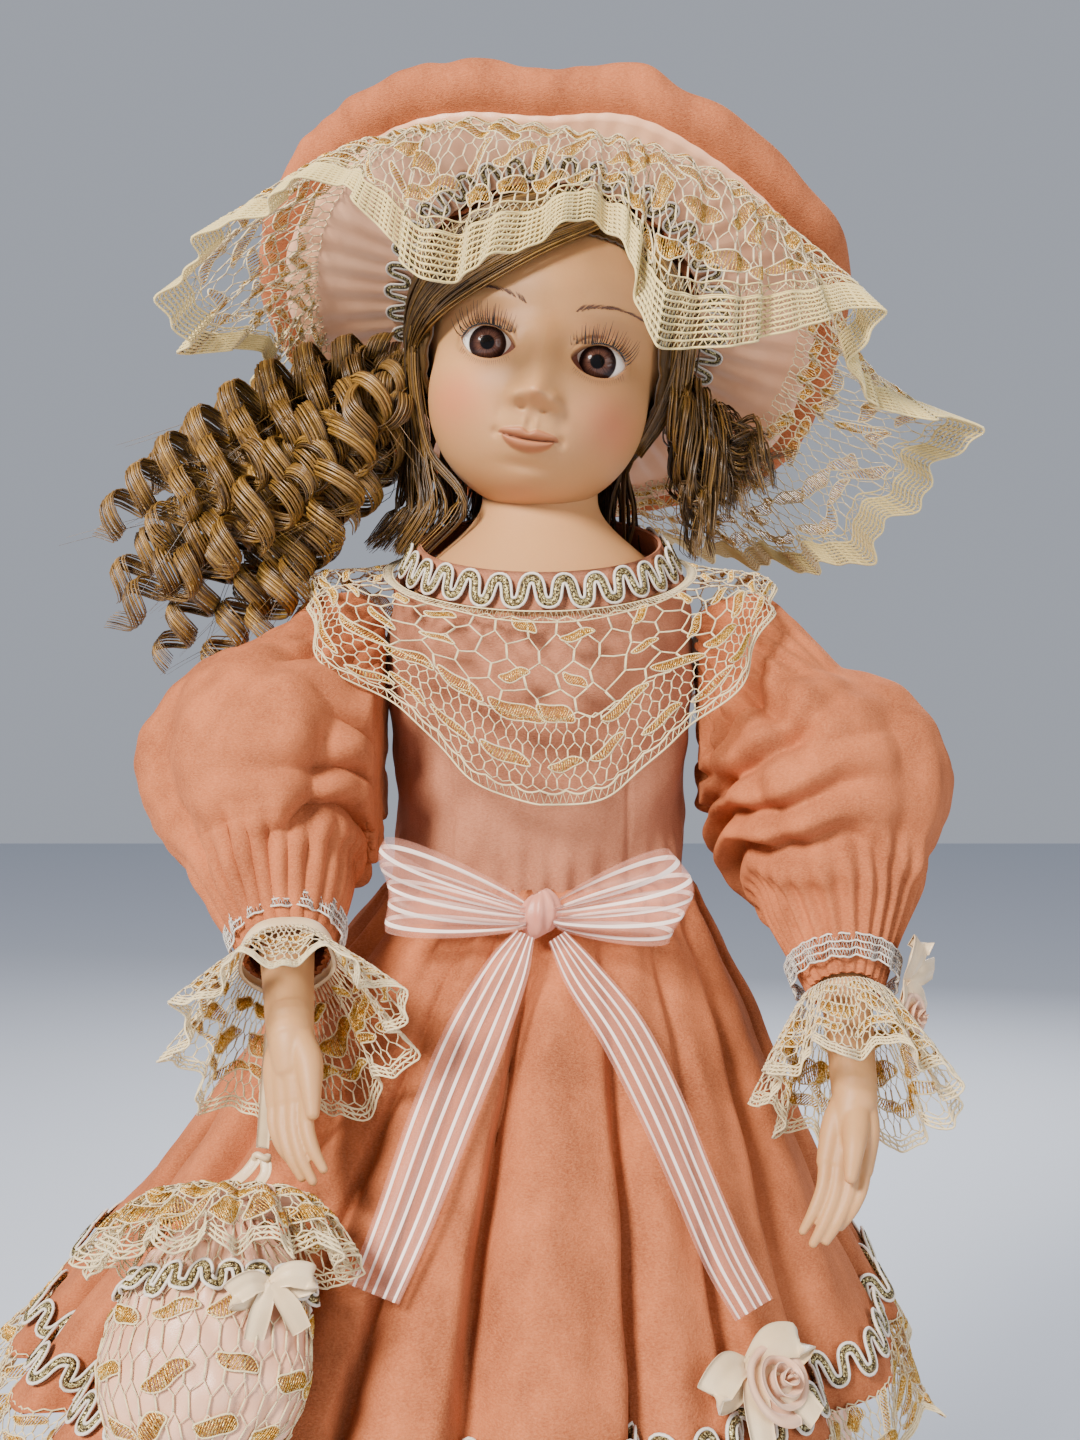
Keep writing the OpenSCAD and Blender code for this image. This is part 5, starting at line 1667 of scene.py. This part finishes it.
def build_sleeve(name, arm, seed):
    side = arm["side"]
    axis, _, _ = forearm_axes(arm)
    gather = arm["elbow"] + GATHER_AT * axis
    puff = arm["puff"]
    shoulder = arm["shoulder"]
    opening = np.array([side * ARM_PLANE, -2.0, 369.0])
    first, last = unit(opening - puff), unit(gather - puff)
    rows, cols = 150, 300
    beta = math.sqrt((1 + first @ last) / 2)
    gamma = 1 / math.sqrt(1 - beta**2)
    lean = unit(first + last)
    pole = unit(first - last)
    third = np.cross(pole, lean)
    polar = np.linspace(math.radians(9), math.radians(166), rows)[:, None, None]
    spin = (-side * np.arange(cols) * TURN / cols)[None, :, None]
    n = np.cos(polar) * pole + np.sin(polar) * (np.cos(spin) * lean + np.sin(spin) * third)
    along = n @ lean
    n = unit(n + ((gamma - 1) * along + gamma * beta)[..., None] * lean)
    t = np.full(n.shape[:2], 95.0)
    for _ in range(60):
        p = puff + n * t[..., None]
        near = np.minimum(cone_distance(p, shoulder, puff, 15.2, 32.6),
                          cone_distance(p, puff, gather, 32.6, 12.3))
        t = t - near
    grid = puff + n * t[..., None]
    s = np.linspace(0, 1, rows)[:, None]
    phi = spin[..., 0]
    # long folds from the shoulder seam round to the cuff, and the fine gathers at both ends
    stretched = grid @ np.stack([unit(np.cross(axis, [1.0, 0, 0])) * 0.6, np.array([1.15, 0, 0]),
                                 axis * 0.75], axis=1)
    middle = smoothstep(0.03, 0.2, s) * smoothstep(1.0, 0.84, s)
    fold = 2.2 * wobble(stretched, 36, seed) * middle
    r = np.random.default_rng(seed + 5)
    turned = front_angle(phi)
    for start, slope in ((0.34, -0.15), (0.46, -0.03), (0.57, 0.06), (0.69, 0.1)):
        d = (s - start - slope * np.abs(turned) - 0.03 * np.sin(3 * phi + seed + 9 * start)) * 105
        reach = smoothstep(r.uniform(1.8, 2.7), 0.7, np.abs(turned))
        fold = fold + 3.4 * pinch(d, 3.4) * reach * middle
    for k in range(9):
        d = front_angle(phi - TURN * (k + r.uniform(-0.25, 0.25)) / 9
                        - r.uniform(-0.7, 0.7) * (s - 0.5)) * 27
        low, high = ((0.0, 0.62), (0.42, 1.0))[k % 2]
        depth = r.uniform(1.8, 3.2) * pinch(d, 3.6)
        depth = depth * smoothstep(low, low + 0.15, s) * smoothstep(high, high - 0.25, s)
        fold = fold + depth * middle
    ends = smoothstep(0.32, 0.1, s) + 1.4 * smoothstep(0.74, 0.95, s)
    fine = 0.9 * np.cos(24 * phi + 2 * np.sin(3 * phi)) * ends
    grid = grid + n * (fold + fine - 0.6 + 0.4 * wobble(grid, 8, seed + 2))[..., None]
    # the last rows close on the forearm in a soft roll and a short frill
    ease = smoothstep(0.9, 1.0, s)[..., None]
    outward = unit(grid[-1] - gather - axis * ((grid[-1] - gather) @ axis)[:, None])
    neck = gather + axis * 7.2 + outward * (8.9 + 0.4 * np.cos(24 * phi[0]))[:, None]
    grid = grid * (1 - ease) + neck[None] * ease
    flat = np.maximum(side * grid[..., 0], ARM_PLANE + 0.25 * (1 + wobble(grid, 6, seed + 3)))
    grid = np.concatenate([(side * flat)[..., None], grid[..., 1:]], axis=-1)
    body = "arm_" + name
    sleeve = cloth("sleeve_velvet_" + name, grid, VELVET, 1.1, body, "sleeve_" + name)

    # narrow white ladder lace over the gathers
    a = ring_angles(200)
    v = np.linspace(0, 1, 8)[:, None]
    r = 14.6 - 1.9 * v + 0.5 * np.sin(13 * a + 1) * v
    reach = 36.8 + 6.4 * v + 0.6 * np.cos(13 * a) * v
    surface = Surface(round_forearm(arm, arm["elbow"], a, r, reach))
    trim = piece("sleeve_edging_" + name, edging(surface, 0.1, 0.95, 200, 0.26, 0.0, 4, 0.05, 26),
                 CORD, body, ())
    SHEETS.append((sleeve, grid, "gathered", ["upper_arm_" + name, "forearm_bisque_" + name],
                   [trim]))


def build_cuff(name, arm, seed):
    a = ring_angles(330)
    v = np.linspace(0, 1, 18)[:, None]
    wave = 9 * a + 0.7 * np.sin(2 * a)
    r = 10.0 + (arm["flare"] + 1.8 - 10.0) * v**0.85
    r = r + 3.0 * np.sin(wave) * v**1.2 + 1.0 * np.sin(2.7 * wave + seed) * v
    reach = CUFF_AT - 2.3 + 28 * v + 2.2 * np.cos(wave) * v - 1.5 * v * np.cos(a + 1)
    grid = round_forearm(arm, arm["elbow"], a, r, reach)
    bands = ((0.2, 13, 5.0, 1.5, 0.1), (0.46, 13, 7.0, 2.8, 0.15), (0.68, 17, 5.0, 1.6, -0.2))
    trims = flounce("cuff_lace_%s_net" % name, "cuff_lace_" + name, grid, 78, 7, bands, seed, 30,
                    0.5,
                    "arm_" + name, thread=0.17, steps=220)
    SHEETS[-1][4].extend(trims)


def tube(points, radii, count=24, sides=18):
    """A closed tube through the points, its radius changing along it and its ends rounded."""
    line = spline(np.column_stack([points, radii]), count)
    p, r = line[:, :3], np.maximum(line[:, 3], 0.2)
    k = np.radians([25, 50, 70, 85])
    start, end = unit(p[0] - p[1]), unit(p[-1] - p[-2])
    first = p[0] + start * (r[0] * np.sin(k[::-1]))[:, None]
    last = p[-1] + end * (r[-1] * np.sin(k))[:, None]
    p = np.vstack([first, p, last])
    r = np.concatenate([r[0] * np.cos(k[::-1]), r, r[-1] * np.cos(k)])
    return sweep(p[None], r[None], sides)


def build_forearm(name, arm, roll, thumb_front):
    side = -arm["side"]
    elbow, wrist, tip = arm["elbow"], arm["wrist"], arm["tip"]
    down = unit(tip - wrist)
    reach = np.linalg.norm(tip - wrist)
    front = unit(np.array([0.0, -1, 0]) + down * down[1])
    over = unit(np.cross(down, front))
    over = over * side * np.sign(over[0])
    c, s = math.cos(roll), math.sin(roll)
    over, front = over * c + front * s, front * c - over * s

    def at(d, s, f):
        return wrist + down * d + over * s + front * f

    shaft = unit(wrist - elbow)
    parts = [tube([elbow, elbow + shaft * 30, elbow + shaft * 52, wrist + down * 2],
                  [8.2, 7.4, 6.0, 5.3], 30, 28)]
    parts.append(tube([wrist - shaft * 2, at(4, 0.3, 0.2), at(9, 0.4, 0.3)], [5.2, 4.9, 4.2], 12,
                      24))
    fingers = [
        # knuckle offset, tip offset, length of the finger past the knuckle, radius
        (4.5, 4.3, reach * 0.44, 1.55), (1.5, 1.7, reach * 0.5, 1.6),
        (-1.5, -1.1, reach * 0.47, 1.55), (-4.3, -3.9, reach * 0.37, 1.35),
    ]
    knuckle = reach * 0.47
    for k, (s0, s1, long, r) in enumerate(fingers):
        bow = -0.3 * abs(k - 1.4)
        parts.append(tube([at(3, s0 * 0.55, bow), at(9, s0 * 0.85, 0.5 + bow),
                           at(knuckle, s0, 0.6 + bow)],
                          [3.1, 3.1, r + 0.75], 16, 18))
        parts.append(tube([at(knuckle - 1, s0, 0.6 + bow),
                           at(knuckle + long * 0.35, s0 * 0.95 + 0.05 * s1, 1.3 + bow),
                           at(knuckle + long * 0.72, (s0 + s1) / 2 + 1.3, 0.9 + bow),
                           at(knuckle + long, s1 + 3.0, -0.3 + bow)],
                          [r + 0.4, r, r * 0.9, r * 0.66], 22, 18))
    t0, t1 = (-0.6, -0.2) if thumb_front else (5.4, 1.0)
    f0 = 4.8 if thumb_front else 1.0
    parts.append(tube([at(4, t0 * 0.5, f0 * 0.3), at(9, t0 * 0.95, f0 * 0.7),
                       at(14, t0 + t1 * 0.9, f0 + 0.6),
                       at(20.5, t0 + t1 * 1.5, f0 + 1.0)], [3.3, 3.2, 2.5, 1.5], 24, 18))
    points, faces, _ = merge(parts)
    obj = make_mesh("forearm_bisque_" + name, points, faces, BISQUE)
    remesh = obj.modifiers.new("fuse", "REMESH")
    remesh.mode, remesh.voxel_size = "VOXEL", 0.4 * MM
    smooth = obj.modifiers.new("soften", "SMOOTH")
    smooth.factor, smooth.iterations = 0.5, 3
    applied(obj)
    place(obj, "arm_" + name, "forearm_" + name)


def build_wrist_ribbon():
    arm = ARMS["right"]
    axis, _, _ = forearm_axes(arm)
    ring_at = arm["elbow"] + (GATHER_AT + 7.5) * axis
    a = ring_angles(120)
    v = np.linspace(0, 1, 7)[:, None]
    r = 10.2 + 0.5 * np.sin(math.pi * v) + 0.3 * np.sin(5 * a)
    band = cloth_parts(round_forearm(arm, ring_at, a, r, 2.9 * v - 0.1), 0.9, True)
    piece("wrist_satin_ribbon", [band], CREAM_SATIN, "arm_right", "wrist_ribbon")
    reach = PURSE_PIVOT - arm["elbow"]
    below = unit(reach - (reach @ axis) * axis)
    start = ring_at + 9.0 * below + axis * 1.0
    way = unit(np.cross(PURSE_PIVOT - start, below))
    middle = (start + PURSE_PIVOT) / 2 + below * 0.4
    keys = [start, start * 0.6 + middle * 0.4, middle, PURSE_PIVOT * 0.97 + middle * 0.03]
    strand = ribbon(keys, way, 2.8, 0.35, 5, 0.15, 0.0, 60)
    strand = piece("purse_hanging_ribbon", [strand], CREAM_SATIN, "arm_right", ())


# ---- purse ----

def build_purse():
    rows, cols = 110, 300
    a = ring_angles(cols)[None]
    depth = np.array([12.5, 15, 18, 23, 32, 42, 50, 57, 60.5, 62])
    wide = np.array([9.5, 6.6, 8.5, 14, 19.3, 21, 20.4, 16, 9.5, 1.0])
    keys = spline(np.column_stack([wide, depth]), rows)
    r, d = keys[:, :1], keys[:, 1:]
    pleat = 1.3 * np.cos(19 * a + 1.5 * np.sin(2 * a)) * smoothstep(40, 19, d)
    low = 0.8 * np.cos(15 * a + 2) * smoothstep(50, 61, d) * np.minimum(r / 10, 1)
    r = np.maximum(r + pleat + low, 0.5)
    grid = ring(a, r, -d, 0.6)
    dent = 1.3 * wobble(grid * [1, 1, 0.6], 17, 91) + 0.5 * wobble(grid, 7, 92)
    dent = dent * smoothstep(18, 30, d) * smoothstep(63, 56, d)
    grid = mapped(in_purse, grid + grid_normals(grid, True) * dent[..., None])
    bag = cloth("purse_satin_bag", grid, PURSE_SATIN, 0.7, "purse", "purse_bag")

    # lace laid over the bag
    skin = Surface(grid)
    threads = net(skin, 34, 8, 0.17, 0.93, 0.17, 93, 0.5)
    bands = [(row, count, 4.4, 1.7, 0) for row, count in ((0.42, 9), (0.6, 10), (0.76, 9))]
    strewn = scatter(bands, 94, (0.3, 0.7), 0.015, (0.8, 1.1), (0.8, 1.2), 0.4)
    size = np.array([108.0, 62.0])
    gold, outline = patches(skin, size, strewn, 95, 0.65, pitch=0.55, thread=0.2, wave=0.3)
    threads.append(outline)
    lace_piece("purse_bag_lace", "purse", (), threads, gold)

    # gimp round the bag under the ruffle
    loops = 17
    steps = LOOP_STEPS * loops
    u = np.arange(steps) / steps
    path = skin.at(u, 0.33, 0.9)
    side = unit(skin.at(u, 0.3, 0.9) - skin.at(u, 0.36, 0.9))
    up = unit(np.cross(onward(path), side))
    up *= np.sign((up * (path - path.mean(0))).sum(-1, keepdims=True))
    gimp_piece("purse_gimp", "purse", (), path, side, up, loops, 7.5, cord=0.5, foil=0.8)

    # two ruffles at the mouth: satin inside, lace outside
    a = ring_angles(330)
    v = np.linspace(0, 1, 16)[:, None]
    wave = 13 * a + 0.8 * np.sin(2 * a)
    r = 6.6 + 21.0 * v**0.78 + 2.8 * np.sin(wave) * v + 1.0 * np.sin(2.6 * wave + 1) * v
    z = -9.5 + 4.0 * np.sin(math.pi * v * 0.9) - 16.5 * v**1.3 + 1.8 * np.cos(wave) * v
    grid = mapped(in_purse, ring(a, r, z, 0.62))
    bands = ((0.22, 14, 4.6, 1.5, 0.1), (0.46, 17, 6.0, 2.2, -0.2), (0.7, 22, 5.0, 1.8, 0.2))
    frill = flounce("purse_ruffle", "purse_frill", grid, 78, 7, bands, 97, 34, 0.5, "purse",
                    thread=0.17, steps=220)
    v = np.linspace(0, 1, 12)[:, None]
    wave = 11 * a + 0.5 * np.sin(3 * a)
    r = 6.6 + 9.0 * v + 1.8 * np.sin(wave) * v
    z = -13.0 + 5.5 * v - 3.5 * v**2 + 1.2 * np.cos(wave) * v
    grid = mapped(in_purse, ring(a, r, z, 0.62))
    mouth = cloth("purse_mouth_satin", grid, PURSE_SATIN, 0.5, "purse", ())
    SHEETS.append((mouth, grid, "gathered", ["purse_satin_bag"], list(frill)))

    # drawstring round the neck of the bag and the handle up to the wrist ribbon
    drawn = in_purse(ring(a, 7.4, -14.5 + 0.3 * np.sin(5 * a), 0.62))
    parts = [sweep(drawn[None], 0.8, 8, True)]
    for s in (-1, 1):
        top = in_purse([0.6 * s, 0, -1.0])
        path = [top, in_purse([2.2 * s, 0.3, -5]), in_purse([3.4 * s, 0, -10]),
                in_purse([4.6 * s, 0, -14.5])]
        parts.append(ribbon(path, [1.0, 0, 0.1], 2.4, 0.35, 5, 0.15, 0, 40))
    knot = np.linspace(0, TURN, 60, endpoint=False)
    knot = np.stack([1.5 * np.sin(knot), 0.9 * np.cos(knot), -1.6 + 0.4 * np.sin(2 * knot)],
                    axis=-1)
    parts.append(sweep(in_purse(knot)[None], 0.7, 8, True))
    piece("purse_drawstring", parts, CREAM_SATIN, "purse", "purse_ribbon")
    out, across = unit(np.array([0.35, -0.9, 0.2])), unit(np.array([0.9, 0.3, 0.1]))
    bow = satin_loops(in_purse([13, -12.5, -31]), out, across, 8, 5, 0.5)
    piece("purse_bow", bow, CREAM_SATIN, "purse", ())
    return bag


KNOT = satin("knot_satin", linear(214, 142, 116), linear(188, 112, 90))
PURSE_SATIN = satin("purse_satin", linear(226, 180, 148), linear(206, 148, 116))
ROSE_SATIN = satin("rose_satin", linear(230, 192, 158), linear(212, 160, 126), 0.4)

build_bodice()
build_neckline()
build_skirts()
build_waist_bow()
build_roses()
for arm_name, arm in ARMS.items():
    build_sleeve(arm_name, arm, 33 if arm_name == "right" else 63)
    build_cuff(arm_name, arm, 101 if arm_name == "right" else 111)
    build_forearm(arm_name, arm, 0.45 if arm_name == "right" else -0.15, arm_name == "left")
build_wrist_ribbon()
purse_bag = build_purse()


# ---- underclothes ----

def build_underclothes():
    profile = np.array([[40.2, 299.5], [46, 275], [80, 190], [96.5, 70]])
    grid = skirt_grid(profile, UNDERSKIRT_LEAN, 480, 70, 32, 2.4, 3, 0.6)
    petticoat = cloth("petticoat_cotton", grid, COTTON, 0.7, "doll", "petticoat")
    SHEETS.append((petticoat, grid, "gathered", ["waist_clip"], []))
    angle = ring_angles(300)[None]
    t = np.linspace(0, 1, 24)[:, None]
    r = 28.4 + 0.7 * np.cos(40 * angle) * (0.4 + 0.6 * t) - 1.6 * np.abs(2 * t - 1) ** 3
    grid = ring(angle, r, 286 - 19 * t)
    seat = cloth("pantaloon_seat_cotton", grid, COTTON, 0.8, "doll", "pantaloon_seat")
    SHEETS.append((seat, grid, "gathered", ["torso"], []))
    t = np.linspace(0, 1, 110)[:, None]
    for name, side in SIDES:
        tuck = 0.35 * (np.abs((t * 30) % 1 - 0.5) < 0.2) * ((t > 0.78) & (t < 0.9))
        pull = smoothstep(0.86, 0.93, t) * smoothstep(1.0, 0.955, t)
        pleat = 0.5 * np.abs(np.cos(11 * angle + 2 * np.sin(3 * angle))) * (0.4 + 0.6 * t)
        r = 16.9 - pleat - tuck - 1.6 * pull
        grid = ring(angle, r, 234 - 138 * t) + [side * 17.5, 0, 0]
        leg = cloth("pantaloon_cotton_" + name, grid, COTTON, 0.8, "leg_" + name,
                    "pantaloon_" + name)
        surface = Surface(grid + grid_normals(grid, True) * 0.3)
        parts = edging(surface, 0.955, 0.998, 240, 0.2, 0.0, 3, 0.004, 40)
        trim = piece("pantaloon_edging_" + name, parts, CORD, "leg_" + name, ())
        SHEETS.append((leg, grid, "gathered", ["thigh_" + name], [trim]))


MOST_OPEN_COLS = 200  # a cloth's grid with more columns than this goes all the way round


def declare_sheets():
    """Works out the size each cloth was cut to, which is its own surface laid flat; the sizes are
    not used.
    """
    for obj, grid, held, rests_on, trims in SHEETS:
        closed = grid.shape[1] > MOST_OPEN_COLS
        sheet = np.concatenate([grid, grid[:, :1]], axis=1) if closed else grid
        wide = np.linalg.norm(np.diff(sheet, axis=1), axis=2).sum(1).max() * MM
        long = np.linalg.norm(np.diff(sheet, axis=0), axis=2).sum(0).max() * MM
        wide, long = math.ceil(wide * 1000) / 1000, math.ceil(long * 1000) / 1000


build_underclothes()
declare_sheets()


# ---- light, floor and camera ----

IMAGE_ROWS = 1440
FOCAL_ROWS = 1555  # the focal length, in rows of the image
SENSOR_HEIGHT = 36.0  # mm


def area_light(name, at, aim, size, power, color=WHITE):
    data = bpy.data.lights.new(name, "AREA")
    data.shape, data.size, data.energy, data.color = "DISK", size, power, color
    obj = bpy.data.objects.new(name, data)
    bpy.context.scene.collection.objects.link(obj)
    obj.location = at
    direction = np.array(aim) - at
    x, y, z = direction
    obj.rotation_euler = math.atan2(math.hypot(x, y), -z), 0, math.atan2(y, x) - math.pi / 2


def build_studio():
    backdrop = Shader("backdrop", Roughness=0.9)
    backdrop.bsdf.inputs["Base Color"].default_value = (*linear(196, 201, 212), 1)
    floor = 4000.0 * np.array([[-1, -1, 0], [1, -1, 0], [1, 1, 0], [-1, 1, 0]])
    make_mesh("floor", floor, [np.array([[0, 1, 2, 3]])], backdrop.material)
    world = bpy.data.worlds.new("studio")
    bpy.context.scene.world = world
    world.use_nodes = True
    sky = world.node_tree.nodes["Background"]
    sky.inputs["Color"].default_value = (*linear(186, 192, 204), 1)
    sky.inputs["Strength"].default_value = 0.78
    area_light("key", (-0.85, -1.2, 1.25), (0, 0, 0.38), 0.5, 76, (1.0, 0.955, 0.9))
    area_light("fill", (1.1, -1.1, 0.7), (0, 0, 0.36), 1.0, 13, (0.98, 0.98, 1.0))
    area_light("back", (0.3, 1.2, 1.0), (0, 0, 0.4), 0.8, 18)


def build_camera():
    data = bpy.data.cameras.new("camera")
    data.sensor_fit = "VERTICAL"
    data.sensor_height = SENSOR_HEIGHT
    data.lens = SENSOR_HEIGHT * FOCAL_ROWS / IMAGE_ROWS
    data.clip_start = 0.01
    camera = bpy.data.objects.new("camera", data)
    bpy.context.scene.collection.objects.link(camera)
    camera.location = (0, -0.42, 0.351)
    camera.rotation_euler = (math.pi / 2, 0, 0)
    bpy.context.scene.camera = camera


build_studio()
build_camera()

bpy.context.view_layer.update()
